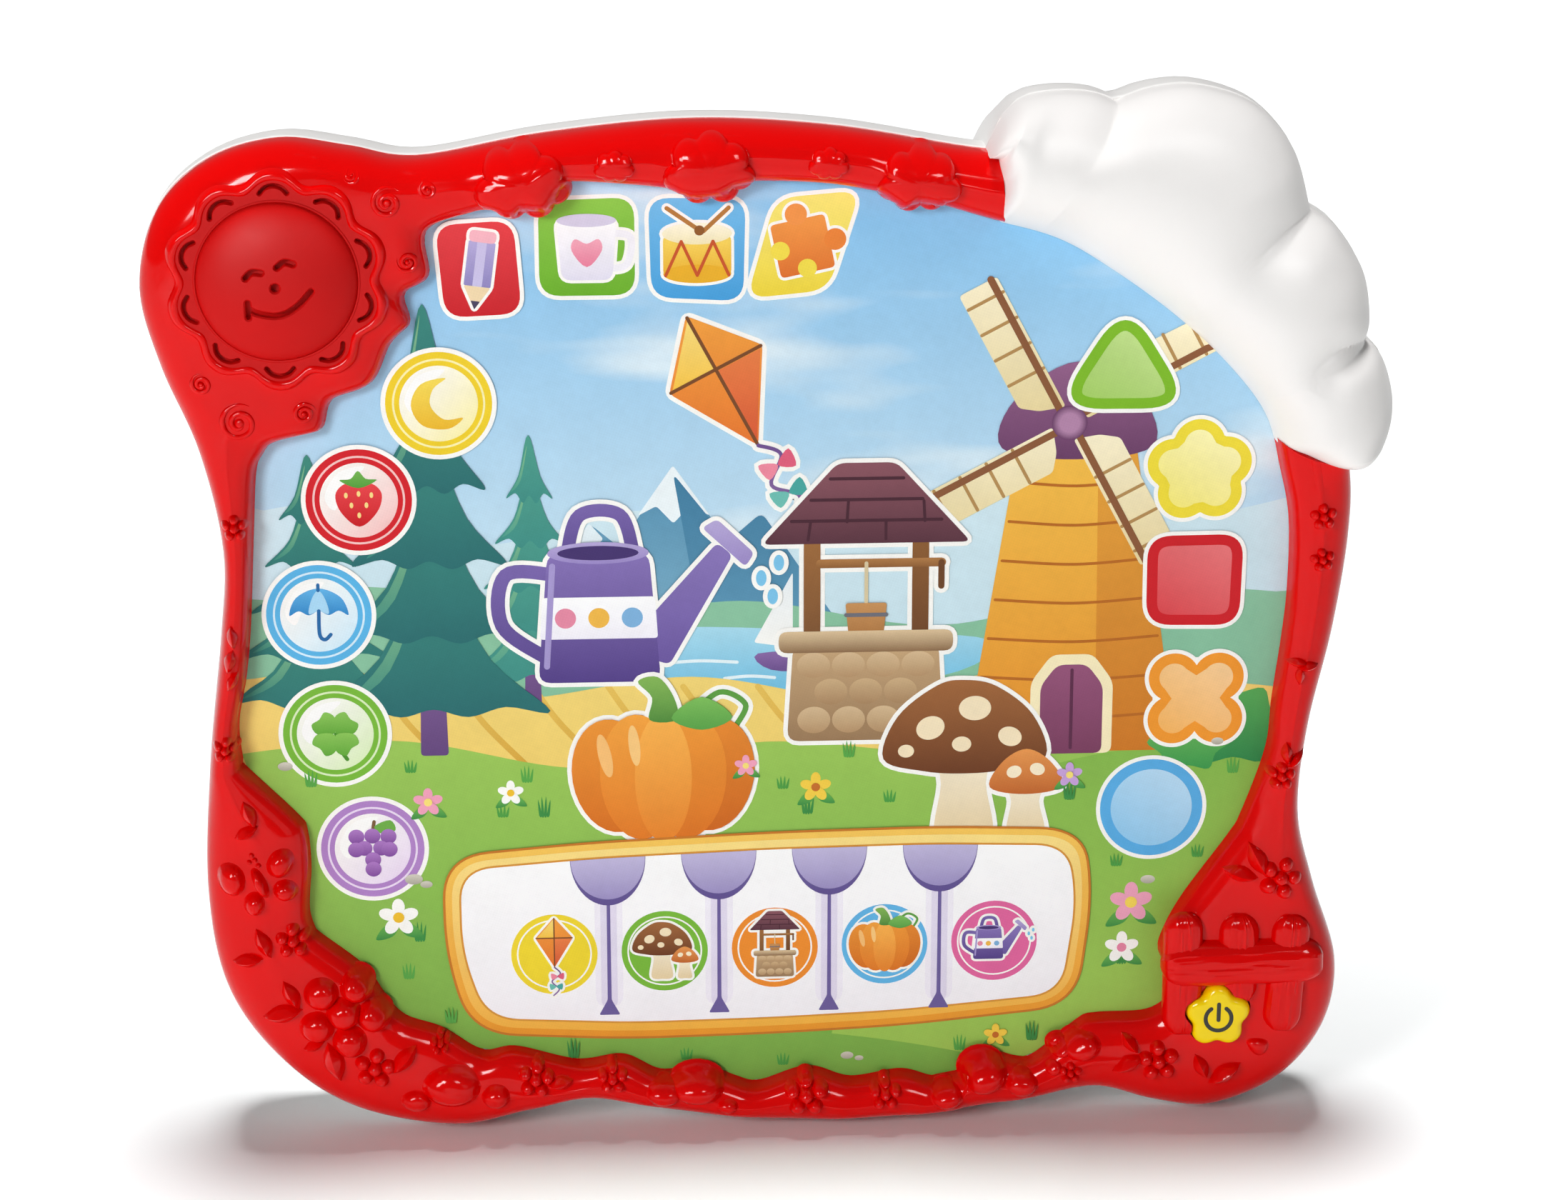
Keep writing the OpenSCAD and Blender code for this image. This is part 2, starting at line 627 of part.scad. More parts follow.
gusset_w = 3;
gusset_t = 1.2;
module gusset(p, turn, z, reach) {
    translate([p.x, p.y, z])
        rotate(turn)
            translate([0, -gusset_t / 2, 0])
                cube([reach, gusset_t, gusset_t]);
}
module cloud_posts() {
    for (p = cloud_screws) {
        post(p, boss_r, 0, cloud_crest, $fn = tower_corners);
        for (turn = [0 : 90 : 270])
            hull() {
                gusset(p, turn, cloud_crest / 2, boss_r);
                gusset(p, turn, cloud_crest, boss_r + gusset_w);
            }
    }
}
module cloud_cover() {
    color("#eeecea") stand() difference() {
        cloud_solid();
        difference() {
            cloud_inside();
            cloud_posts();
        }
        for (p = cloud_screws)
            post(p, screw_r + pilot_gap, -eps, screw_grip + pilot_spare, $fn = tower_corners);
    }
}

// Sun-shaped speaker grille
petals = 10;
petal_r = 7;
// One petal points straight up
petal_offset = 0.5;
spigot_gap = 0.3;
slot_w = 1.6;
arc_parts = 4;
// A curved slot on a circle, from one angle to another
module arc_slot(r, w, from, to) {
    difference() {
        intersection() {
            circle(r + w / 2);
            polygon(concat([[0, 0]], [
                for (k = [0 : arc_parts])
                    let (a = from + (to - from) * k / arc_parts) 2 * r * [cos(a), sin(a)]
            ]));
        }
        circle(r - w / 2);
    }
}
// The face is drawn upright and then tilted
face_tilt = 18;
eye_x = 4;
eye_y = 2;
eye_r = 2.8;
eye_turn = [35, 145];
nose_at = [-0.8, -2];
nose_r = 0.9;
smile_y = 3.3;
smile_r = 10;
smile_turn = [223, 316];
module sun_face() {
    rotate(face_tilt) {
        for (side = [-1, 1])
            translate([side * eye_x, eye_y]) arc_slot(eye_r, slot_w, eye_turn[0], eye_turn[1]);
        translate(nose_at) circle(nose_r);
        translate([0, smile_y]) arc_slot(smile_r, slot_w, smile_turn[0], smile_turn[1]);
    }
}
// Each petal has a crescent cut into it
crescent_r = 4.2;
crescent_shift = 1.6;
crescent_deep = 0.8;
crescent_clear = 0.6;
dish_fine = 96;
module crescents() {
    for (k = [0 : petals - 1])
        rotate((k + petal_offset) * full_turn / petals)
            difference() {
                translate([petal_tip_r - petal_r, 0]) circle(crescent_r + slot_w / 2);
                translate([petal_tip_r - petal_r - crescent_shift, 0]) circle(crescent_r + slot_w / 2);
                circle(sun_r + crescent_clear);
            }
}
grille_skin = 1.8;
module speaker_grille() {
    dome_h = sun_rise + petal_t / 2;
    sphere_r = (sun_r * sun_r + dome_h * dome_h) / (2 * dome_h);
    cavity_r = grille_hole_r - spigot_gap - grille_skin;
    color("#d32222") stand() translate([sun_at.x, sun_at.y, 0]) difference() {
        union() {
            intersection() {
                translate([0, 0, sun_z + sun_rise - sphere_r]) sphere(sphere_r, $fn = dish_fine);
                translate([0, 0, frame_crest]) cylinder(r = sun_r, h = front_depth);
            }
            translate([0, 0, frame_crest]) linear_extrude(petal_t) {
                circle(petal_tip_r - petal_r);
                for (k = [0 : petals - 1])
                    rotate((k + petal_offset) * full_turn / petals)
                        translate([petal_tip_r - petal_r, 0]) circle(petal_r);
            }
            translate([0, 0, frame_crest - wall + spigot_gap])
                cylinder(r = grille_hole_r - spigot_gap, h = wall);
        }
        intersection() {
            translate([0, 0, sun_z + sun_rise - sphere_r]) sphere(sphere_r - grille_skin, $fn = dish_fine);
            cylinder(r = cavity_r, h = front_depth);
        }
        linear_extrude(2 * front_depth) sun_face();
        translate([0, 0, sun_z - crescent_deep]) linear_extrude(petal_t) crescents();
    }
}

// The printed sheet and what lies behind it
function panel_outline(grow) = [
    for (i = [0 : frame_rays - 1])
        let (a = frame_ray(i)) mid + (window_reach(a) + grow) * [cos(a), sin(a)]
];
sheet_grow = 1;
tray_grow = 2.5;
module sheet(grow, from, thick) {
    translate([0, 0, from]) linear_extrude(thick) polygon(panel_outline(grow));
}
module touch_overlay() {
    color("#8fcbe8") stand() sheet(sheet_grow, screen_z - overlay_t, overlay_t);
}
module touch_membrane() {
    color("#d9d4c3") stand() sheet(sheet_grow, membrane_z, membrane_t);
}
module touch_pads() {
    color("#2b2b2e") stand()
        for (p = zones)
            translate([p.x, p.y, tray_top]) cylinder(r = pad_r, h = pad_t);
}
module membrane_tail() {
    color("#c9c3ae") stand()
        translate([tail_at.x - tail_w / 2, tail_at.y - tail_t / 2, connector_slot_z])
            cube([tail_w, tail_t, membrane_z - connector_slot_z]);
}
tail_slot = 1;
ear_wall = 1;
ear_l = 14;
module panel_tray() {
    ear_r = small_boss_r + ear_wall;
    color("#e6e3df") stand() difference() {
        translate([0, 0, tray_z]) linear_extrude(tray_t) {
            polygon(panel_outline(tray_grow));
            for (p = tray_screws_at)
                translate(p) rotate(bearing(p)) {
                    circle(ear_r);
                    translate([-ear_l, -ear_r]) square([ear_l, 2 * ear_r]);
                }
        }
        for (p = tray_screws_at)
            post(p, small_screw_r + pilot_gap, tray_z - eps, tray_top + eps);
        translate([tail_at.x, tail_at.y, tray_z])
            cube([tail_w + 2 * tail_slot, tail_t + 2 * tail_slot, 3 * tray_t], center = true);
    }
}

// Speaker
module speaker_gasket() {
    color("#1d1d1f") stand() translate([sun_at.x, sun_at.y, speaker_z]) difference() {
        cylinder(r = speaker_r, h = gasket_t);
        translate([0, 0, -eps]) cylinder(r = grille_hole_r, h = gasket_t + 2 * eps);
    }
}
basket_back = speaker_z - speaker_depth;
basket_wall = 0.8;
basket_rim = 2.6;
surround_w = 3;
cone_gap = 0.05;
cone_r = speaker_r - surround_w;
cone_t = 0.5;
cap_r = 5;
cap_rise = 1.6;
cap_shoulder = 0.6;
module speaker_basket() {
    back_r = magnet_r + basket_rim;
    seat_r = cone_r + cone_t;
    color("#8b8d90") stand() translate([sun_at.x, sun_at.y, 0]) rotate_extrude() polygon([
        [cap_r, basket_back], [back_r, basket_back], [seat_r + cone_t, speaker_z - flange_t],
        [speaker_r, speaker_z - flange_t], [speaker_r, speaker_z], [seat_r, speaker_z],
        [seat_r, speaker_z - flange_t], [back_r - basket_wall, basket_back + basket_wall],
        [cap_r, basket_back + basket_wall]
    ]);
}
module speaker_cone() {
    deep = basket_back + 2 * basket_wall;
    rim_z = speaker_z;
    rim_r = cone_r + cone_t - cone_gap;
    shoulder = cap_shoulder * cap_r;
    shoulder_z = deep + cap_rise - cone_t / 2;
    color("#2a2a2c") stand() translate([sun_at.x, sun_at.y, 0]) rotate_extrude() polygon([
        [0, deep + cap_rise], [shoulder, shoulder_z], [cap_r, deep], [cone_r - cone_t, rim_z - cone_t],
        [rim_r, rim_z - cone_t], [rim_r, rim_z], [cone_r - 2 * cone_t, rim_z],
        [cap_r, deep + 2 * cone_t], [shoulder, shoulder_z + cone_t], [0, deep + cap_rise + cone_t]
    ]);
}
module speaker_magnet() {
    color("#55575a") stand() post(sun_at, magnet_r, basket_back - magnet_t, basket_back);
}

// Power button, its switch and the small board that carries it
module button_shape(grow) {
    lobes = 5;
    circle(lobe_ring + grow);
    for (k = [0 : lobes - 1])
        rotate(90 + k * full_turn / lobes) translate([lobe_ring, 0]) circle(lobe_r + grow);
}
plunger_r = 1.7;
plunger_gap = 0.05;
plunger_sunk = 0.4;
switch_size = 6;
switch_h = 3.5;
switch_z = switch_top + switch_h;
plunger_h = button_travel + plunger_sunk;
tab_gap = 0.3;
tab_z = frame_crest - wall - tab_gap;
tab_t = 1.2;
tab_reach = 1;
module power_button() {
    color("#f7d313") stand() translate([button_at.x, button_at.y, 0]) {
        translate([0, 0, tab_z - tab_t])
            linear_extrude(frame_crest + button_proud - tab_z + tab_t) button_shape(0);
        translate([0, 0, tab_z - tab_t / 2])
            cube([2 * lobe_r, 2 * (lobe_ring + lobe_r + tab_reach), tab_t], center = true);
        translate([0, 0, switch_z + plunger_h])
            cylinder(r = plunger_r, h = tab_z - tab_t - switch_z - plunger_h + eps);
    }
}
module switch_plunger() {
    color("#1c1c1e") stand() post(button_at, plunger_r, switch_z - plunger_sunk, switch_z + plunger_h);
}
module power_switch() {
    color("#3a3b3e") stand() difference() {
        translate([button_at.x, button_at.y, switch_top + switch_h / 2])
            cube([switch_size, switch_size, switch_h], center = true);
        post(button_at, plunger_r + plunger_gap, switch_z - button_travel - 2 * plunger_sunk, switch_z + eps);
    }
}
module switch_board() {
    color("#2f7d46") stand() difference() {
        translate([button_at.x + switch_shift, button_at.y, switch_top - board_t / 2])
            cube([switch_board_w, switch_pitch + 4 * small_boss_r, board_t], center = true);
        for (p = switch_screws)
            post(p, small_screw_r + pilot_gap, switch_top - board_t - eps, switch_top + eps);
    }
}

// Main board and what is on it
module circuit_board() {
    color("#2a7a43") stand() difference() {
        translate([board_at.x, board_at.y, board_z + board_t / 2])
            cube([board_w, board_h, board_t], center = true);
        for (p = board_posts)
            post(p, small_screw_r + pilot_gap, board_z - eps, board_top + eps);
    }
}
blob_at = [18, 6];
blob_r = 8;
blob_h = 2;
module chip_blob() {
    ball = (blob_r * blob_r + blob_h * blob_h) / (2 * blob_h);
    color("#17171a") stand()
        translate([board_at.x + blob_at.x, board_at.y + blob_at.y, board_top]) intersection() {
            translate([0, 0, blob_h - ball]) sphere(ball, $fn = dish_fine);
            cylinder(r = blob_r, h = blob_h);
        }
}
can_at = [-20, 10];
can_r = 2.5;
can_h = 6;
module capacitor() {
    color("#243a6b") stand() post(board_at + can_at, can_r, board_top, board_top + can_h);
}
chip_size = [3.2, 1.6, 1];
chips_from = [-12, -4];
chip_pitch = [5, 4];
module board_parts() {
    color("#3b2d22") stand()
        for (i = [0 : 3], j = [0 : 1])
            translate([
                board_at.x + chips_from.x + i * chip_pitch.x,
                board_at.y + chips_from.y + j * chip_pitch.y,
                board_top + chip_size.z / 2
            ])
                cube(chip_size, center = true);
}
connector_h = 4;
connector_wall = 1.5;
connector_floor = 1;
connector_gap = 0.1;
connector_slot_z = board_top + connector_floor;
module tail_connector() {
    color("#efe9da") stand() difference() {
        translate([tail_at.x, tail_at.y, board_top + connector_h / 2])
            cube([tail_w + 2 * connector_wall, tail_t + 2 * connector_wall, connector_h], center = true);
        translate([tail_at.x, tail_at.y, connector_slot_z + connector_h])
            cube([tail_w + 2 * connector_gap, tail_t + 2 * connector_gap, 2 * connector_h], center = true);
    }
}

// Battery box, its flange seated on the inside of the shell's back
box_floor = rear_floor + box_depth;
box_mouth = rear_floor;
box_outer_l = box_inner_l + 2 * box_wall;
box_outer_h = box_inner_h + 2 * box_wall;
flange_h = 1.6;
door_boss_r = 4.2;
door_boss_h = 2;
door_post_h = 12;
door_boss_wall = 2;
screw_fit = 0.06;
tab_w = 3;
tab_out = 3;
tab_slack = 0.2;
ends = [-1, 1];
function cell_y(k) = box_at.y + (k - (cells - 1) / 2) * cell_pitch;
function nub_side(k) = k % 2 == 0 ? 1 : -1;
function tab_y(side) = side < 0 ? cell_y(0) : cell_y(cells - 1);
module battery_box() {
    color("#ece9e6") stand() difference() {
        union() {
            translate([box_at.x, box_at.y, (box_mouth + box_floor + box_wall) / 2])
                cube([box_outer_l, box_outer_h, box_depth + box_wall], center = true);
            translate([door_mid.x, door_mid.y, box_mouth + flange_h / 2])
                cube([door_l + 2 * flange_w, door_h + 2 * flange_w, flange_h], center = true);
            post(door_screw_at, door_boss_r + door_boss_wall, box_mouth, box_mouth + door_post_h);
        }
        translate([box_at.x, box_at.y, box_floor - box_depth])
            cube([box_inner_l, box_inner_h, 2 * box_depth], center = true);
        post(door_screw_at, door_boss_r + door_gap, box_mouth - eps, box_mouth + door_boss_h + door_gap);
        post(door_screw_at, small_screw_r + screw_fit, box_mouth, box_mouth + door_post_h - box_wall);
        for (p = stakes)
            post(p, stake_r + stake_gap, box_mouth - eps, box_mouth + flange_h + eps);
        for (side = ends)
            translate([box_at.x + side * box_inner_l / 2, tab_y(side), box_floor - box_depth / 2])
                cube([4 * box_wall, tab_w + tab_slack, contact_t + tab_slack], center = true);
    }
}
groove_w = 1.5;
groove_deep = 0.5;
groove_pitch = 4;
module battery_door() {
    color("#efedeb") stand() difference() {
        union() {
            translate([door_mid.x, door_mid.y, wall / 2 - rear_depth])
                cube([door_l, door_h, wall], center = true);
            post(door_screw_at, door_boss_r, rear_floor - eps, rear_floor + door_boss_h);
        }
        post(door_screw_at, small_head_r + head_gap, -rear_depth - eps, rear_floor);
        post(door_screw_at, small_screw_r + pilot_gap, rear_floor - eps, rear_floor + door_boss_h + eps);
        for (k = [0 : 2])
            translate([box_at.x - box_inner_l / 2 + groove_pitch * k, box_at.y, -rear_depth])
                cube([groove_w, door_h / 2, 2 * groove_deep], center = true);
    }
}
module door_screw() {
    color("#b9bcc0") stand()
        screw(door_screw_at, rear_floor, screw_grip, small_screw_r, small_head_r, small_head_t);
}
nub_l = 1.3;
nub_r = 2.7;
module battery_cells() {
    color("#c8a23a") stand()
        for (k = [0 : cells - 1]) {
            side = nub_side(k);
            tip = box_at.x + side * (box_inner_l / 2 - contact_t - end_gap);
            translate([tip, cell_y(k), box_floor - cell_d / 2]) rotate([0, -90 * side, 0]) {
                cylinder(r = nub_r, h = nub_l + eps);
                translate([0, 0, nub_l]) cylinder(r = cell_d / 2, h = cell_l - nub_l);
            }
        }
}
plate_inset = 3;
module battery_contacts() {
    plate = [contact_t, cell_d - plate_inset, cell_d - plate_inset];
    color("#c9ccd0") stand()
        for (side = ends) {
            x = box_at.x + side * (box_inner_l - contact_t) / 2;
            for (k = [0 : cells - 1])
                translate([x, cell_y(k), box_floor - cell_d / 2]) cube(plate, center = true);
            translate([x + side * (box_wall + tab_out) / 2, tab_y(side), box_floor - box_depth / 2])
                cube([box_wall + tab_out, tab_w, contact_t], center = true);
        }
}

// Tubes swept along a route
function unit(v) = v / norm(v);
function tangents(p) = [for (i = [0 : len(p) - 1]) unit(p[min(i + 1, len(p) - 1)] - p[max(i - 1, 0)])];
function side_of(t) = unit(cross(t, abs(t.x) < abs(t.z) ? [1, 0, 0] : [0, 0, 1]));
function sides_along(t) = [
    for (i = 0, s = side_of(t[0]); i < len(t); i = i + 1, s = i < len(t) ? unit(s - t[i] * (s * t[i])) : s) s
];
module tube(p, r, corners, first, last) {
    inner = tangents(p);
    t = [for (i = [0 : len(p) - 1]) i == 0 ? first : i == len(p) - 1 ? last : inner[i]];
    s = sides_along(t);
    polyhedron(
        [for (i = [0 : len(p) - 1], k = [0 : corners - 1])
            let (a = full_turn * k / corners) p[i] + r * (s[i] * cos(a) + cross(t[i], s[i]) * sin(a))],
        stack_faces(len(p), corners));
}
spring_corners = 6;
spring_curl = 8;
spring_wide = 4;
spring_narrow = 2.4;
function spring_path(from, length, side) = let (steps = spring_turns * spring_curl) [
    for (i = [0 : steps])
        let (
            f = i / steps,
            a = full_turn * i / spring_curl,
            r = spring_wide + (spring_narrow - spring_wide) * f
        )
            from + [
                side * (spring_wire / 2 + end_gap + (length - spring_wire - 2 * end_gap) * f),
                r * cos(a),
                r * sin(a)
            ]
];
spring_sample = spring_path([0, 0, 0], spring_l, 1);
spring_clear = min([
    for (i = [0 : len(spring_sample) - 1], j = [i + spring_curl / 2 : 1 : len(spring_sample) - 1])
        norm(spring_sample[i] - spring_sample[j])
]) - spring_wire;
echo(spring_clear = spring_clear);
module battery_springs() {
    color("#b7babd") stand()
        for (k = [0 : cells - 1]) {
            side = nub_side(k);
            base = [box_at.x - side * (box_inner_l / 2 - contact_t), cell_y(k), box_floor - cell_d / 2];
            path = spring_path(base, spring_l, side);
            ways = tangents(path);
            tube(path, spring_wire / 2, spring_corners, ways[0], ways[len(ways) - 1]);
        }
}

// Wires, each a route of points chosen by hand between its two ends
wire_corners = 6;
wire_steps = 2;
pair_gap = 3;
wire_rise = 4;
wire_bend = 8;
module wire(points) {
    m = len(points);
    tube(open_curve(points, wire_steps), wire_r, wire_corners,
        unit(points[1] - points[0]), unit(points[m - 1] - points[m - 2]));
}
// Places of the soldered ends, measured from the middle of the board's lower edge
board_low = [board_at.x, board_at.y - board_h / 2];
battery_pads = board_low + [-10, 2];
speaker_pads = board_low + [3 - board_w / 2, 26];
switch_pads = board_low + [17, 3];
over_box = box_floor + box_wall + 3 * wire_r;
tab_top = box_floor - (box_depth - contact_t) / 2;
tab_mid = box_outer_l / 2 + tab_out / 2;
function lead_start(side) = [box_at.x + side * tab_mid, tab_y(side), tab_top];
module battery_leads() {
    left = lead_start(-1);
    right = lead_start(1);
    above = box_at.y + box_outer_h / 2 + wire_bend;
    left_pad = [battery_pads.x - pair_gap, battery_pads.y, board_top];
    right_pad = [battery_pads.x + pair_gap, battery_pads.y, board_top];
    color("#c02020") stand() {
        wire([
            left,
            left + [0, 0, wire_rise],
            [left.x, left.y + wire_bend, over_box],
            [box_at.x - box_inner_l / 3, above, over_box],
            [box_at.x + box_inner_l / 2, above, over_box],
            [left_pad.x - wire_bend, left_pad.y - pair_gap, over_box],
            [left_pad.x, left_pad.y, board_top + wire_rise],
            left_pad
        ]);
        wire([
            right,
            right + [0, 0, wire_rise],
            [right.x + wire_bend, right.y, over_box],
            [right_pad.x - wire_bend, right_pad.y - 2 * wire_bend, over_box],
            [right_pad.x, right_pad.y - wire_rise, over_box],
            [right_pad.x, right_pad.y, board_top + wire_rise],
            right_pad
        ]);
    }
}
// The speaker's wires leave its basket at this angle, this far to either side, and go this way
speaker_lead_turn = -50;
speaker_lead_spread = 12;
speaker_lead_step = [6, -8, 0];
speaker_route = placed([[-70, 176], [0, 168]]);
module speaker_leads() {
    seat = magnet_r + basket_rim / 2;
    low = basket_back - magnet_t - pair_gap;
    color("#3f6fb5") stand()
        for (side = ends) {
            turn = speaker_lead_turn + side * speaker_lead_spread;
            from = [sun_at.x + seat * cos(turn), sun_at.y + seat * sin(turn), basket_back];
            pad = [speaker_pads.x, speaker_pads.y + side * pair_gap, board_top];
            bend = from + speaker_lead_step;
            wire([
                from,
                from - [0, 0, wire_rise],
                [bend.x, bend.y, low],
                for (q = speaker_route) [q.x, q.y + side * pair_gap, low],
                [pad.x - 2 * wire_bend, pad.y, low + pair_gap],
                [pad.x, pad.y, board_top + wire_rise],
                pad
            ]);
        }
}
switch_lead_up = 6;
module switch_leads() {
    start = switch_top - board_t;
    low = start - wire_rise;
    middle = button_at + [switch_shift, switch_lead_up];
    color("#d9b52a") stand()
        for (side = ends) {
            from = [middle.x + side * pair_gap, middle.y, start];
            pad = [switch_pads.x + side * pair_gap, switch_pads.y, board_top];
            wire([
                from,
                from - [0, 0, wire_rise - wire_r],
                [from.x, from.y + 2 * wire_bend, low],
                [pad.x, pad.y - 3 * wire_bend, low],
                [pad.x, pad.y - wire_bend, low],
                [pad.x, pad.y, board_top + wire_rise],
                pad
            ]);
        }
}

// Screws
module case_screws() {
    color("#aeb1b5") stand()
        for (p = concat(frame_screws, cloud_screws))
            screw(p, tower_seat, 2 * screw_grip, screw_r, head_r, head_t);
}
module tray_screws() {
    color("#aeb1b5") stand()
        for (p = tray_screws_at)
            screw(p, tray_z, small_grip, small_screw_r, small_head_r, small_head_t);
}
module board_screws() {
    color("#aeb1b5") stand() {
        for (p = board_posts)
            translate([p.x, p.y, board_top]) rotate([180, 0, 0])
                screw([0, 0], 0, small_grip, small_screw_r, small_head_r, small_head_t);
        for (p = switch_screws)
            screw(p, switch_top - board_t, small_grip, small_screw_r, small_head_r, small_head_t);
    }
}
flange_catch = 0.6;
module speaker_screws() {
    color("#aeb1b5") stand()
        for (p = speaker_screws_at)
            screw(p, speaker_z - flange_t, flange_t + gasket_t + wall / 3, small_screw_r,
                small_head_r + flange_catch, small_head_t);
}

front_frame();
rear_shell();
cloud_cover();
speaker_grille();
touch_overlay();
touch_membrane();
touch_pads();
membrane_tail();
panel_tray();
speaker_basket();
speaker_cone();
speaker_magnet();
speaker_gasket();
power_button();
switch_plunger();
power_switch();
switch_board();
circuit_board();
chip_blob();
capacitor();
board_parts();
tail_connector();
battery_box();
battery_cells();
battery_contacts();
battery_springs();
battery_door();
door_screw();
battery_leads();
speaker_leads();
switch_leads();
case_screws();
tray_screws();
board_screws();
speaker_screws();
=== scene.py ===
# %% [markdown]
# # A toy learning tablet
# The packed solids give this object its size, its joints and what is inside it. This lesson
# dresses what a child sees: a glossy red frame with raised flowers, a puffy white cloud, a
# printed touch panel, a sun that covers the speaker and a yellow power button. Everything is
# in metres and stands where the solids stand, so nothing has to be fitted afterwards.

# %% Load the packed solids
import json
from bisect import bisect_right
from math import acos, atan2, cos, degrees, pi, radians, sin, sqrt, tau

import bmesh
import bpy
from mathutils import Matrix, Vector, noise


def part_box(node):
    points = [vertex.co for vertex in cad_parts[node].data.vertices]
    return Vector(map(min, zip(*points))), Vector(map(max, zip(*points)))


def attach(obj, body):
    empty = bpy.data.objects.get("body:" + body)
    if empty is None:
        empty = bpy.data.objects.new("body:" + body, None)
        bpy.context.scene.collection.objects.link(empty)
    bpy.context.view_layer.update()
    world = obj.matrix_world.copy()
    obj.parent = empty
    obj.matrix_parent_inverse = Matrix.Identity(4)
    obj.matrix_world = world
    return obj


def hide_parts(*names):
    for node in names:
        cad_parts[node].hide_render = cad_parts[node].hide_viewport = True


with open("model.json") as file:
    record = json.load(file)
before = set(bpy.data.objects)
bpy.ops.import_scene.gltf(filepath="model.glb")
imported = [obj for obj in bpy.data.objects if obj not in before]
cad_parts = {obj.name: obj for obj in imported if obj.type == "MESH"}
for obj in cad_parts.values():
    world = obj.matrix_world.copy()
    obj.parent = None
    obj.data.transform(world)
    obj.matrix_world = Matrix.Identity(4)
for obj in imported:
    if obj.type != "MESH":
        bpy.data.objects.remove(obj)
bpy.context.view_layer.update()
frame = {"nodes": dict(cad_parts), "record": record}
nodes = frame["nodes"]

# %% [markdown]
# The panel is drawn as one looks at it: x to the right, y up and a height that comes out
# towards the viewer, all in millimetres. The printed sheet's front face tells where that
# drawing stands in the room, so one short function brings every point there.

# %% From the drawing to the room
MM = 0.001
SHEET = 5.5
sheet_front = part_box("touch_overlay")[0][1]


def spot(x, y, out=0.0):
    return Vector((x * MM, sheet_front - (out - SHEET) * MM, y * MM))


print("printed face at Y =", round(sheet_front, 5))

# %% [markdown]
# The outlines go through the same points as the solids. A spline that passes through every
# one of them keeps the wavy window smooth. Seen from the middle of the panel, each outline is
# also a reach at an angle, and that makes it easy to ask how wide the frame is in a direction.
# The cloud has its own lobes, and two ends where it meets the frame.

# %% Outlines
MID = Vector((0, 130))
EDGE = [
    (135, 129), (138, 154), (137, 172), (131, 196), (119, 216), (100, 232), (75, 243), (46, 246.5), (14, 252),
    (-19, 254), (-53, 251), (-82, 246), (-98, 248.5), (-114, 250.5), (-130, 246), (-142, 235), (-147, 217),
    (-143, 198), (-135, 177), (-130.5, 153), (-132, 131), (-136, 99), (-138, 66), (-134, 40), (-121.4, 20.4),
    (-104, 7.6), (-80, 2.3), (-62, 6), (-46, 9), (-22, 4.8), (6, 1.9), (36, 2.6), (62, 6), (80, 8.7),
    (95, 4.6), (110, 3), (126.6, 10.4), (137.2, 24.4), (139.5, 42), (133, 63), (128.5, 82), (130, 104),
]
WINDOW = [
    (49.4, 231.3), (34.3, 235.6), (29.9, 234.4), (28.1, 234.8), (24.8, 237.5), (23, 238), (13.5, 239.7),
    (1.9, 240.5), (-7.7, 240.3), (-13.2, 237.8), (-20.9, 237.4), (-25.2, 239.2), (-44.8, 241), (-49, 240),
    (-51.6, 235.7), (-53.3, 234.7), (-58.2, 234.9), (-59.8, 233.6), (-62.1, 233.3), (-65.3, 234.5),
    (-70.1, 233.9), (-80.7, 229.7), (-80.4, 219.3), (-85.6, 215.6), (-86.2, 213.2), (-85.1, 209.4),
    (-85.6, 207.1), (-89.9, 202.8), (-94.5, 193.7), (-103.6, 189.8), (-105.8, 183.9), (-107.2, 182.3),
    (-117.3, 179.8), (-120.7, 176.3), (-122.3, 172.1), (-123.4, 158.5), (-124.3, 145.3), (-125.3, 132.2),
    (-126.7, 121.1), (-128.9, 109.6), (-128.4, 100.3), (-127.6, 98.2), (-115.8, 85.6), (-113.7, 81.7),
    (-113.1, 72.3), (-113.9, 61.6), (-113, 56.6), (-111.8, 54.6), (-101, 45.3), (-96, 37.3), (-91.4, 31.9),
    (-82.3, 28.3), (-72.8, 22.1), (-64.4, 22.8), (-49.4, 18.9), (-37.9, 20), (-28.5, 15.6), (-18, 16.7),
    (-10.2, 13.4), (-4.1, 12), (8, 15.6), (18.6, 12.5), (31, 14.2), (38.3, 12.2), (40.5, 12.4), (46.9, 14),
    (47.8, 17.3), (51.8, 18.9), (54.1, 19), (60.1, 16.9), (64.8, 17.7), (75.2, 26.5), (79.5, 28.2),
    (91.3, 28.6), (96.1, 30.5), (99.4, 34), (99.3, 37.4), (95.5, 44), (96, 49.5), (100.8, 59.4),
    (111.8, 75.5), (114.8, 81.3), (120, 97.8), (121.1, 110.8), (122.8, 125.7), (123.8, 138.7),
    (123.6, 156.3), (121, 169.3), (117, 183), (107, 196), (94, 208), (79, 219), (66, 226.5),
]
LOBES = [
    [(137.2, 170.6), (140.6, 171.6), (144.2, 175), (146.6, 181), (146.6, 188), (143.8, 196.4), (139.5, 200)],
    [(139.5, 200), (140.5, 206), (138.5, 217), (132, 227), (125.5, 231.5)],
    [(125.5, 231.5), (121, 246), (112, 256), (99, 260.5), (88, 260), (79.5, 257)],
    [(79.5, 257), (74, 259), (66, 259.5), (58, 258), (53, 253.5), (51.5, 250.5)],
]
LOW_END = [(137.2, 170.6), (133.6, 170.9), (130, 172), (124, 174.8), (120.8, 178)]
TOP_END = [(51.5, 250.5), (52.5, 240), (54, 231.5)]
print("points on the edge", len(EDGE), "and on the window", len(WINDOW))

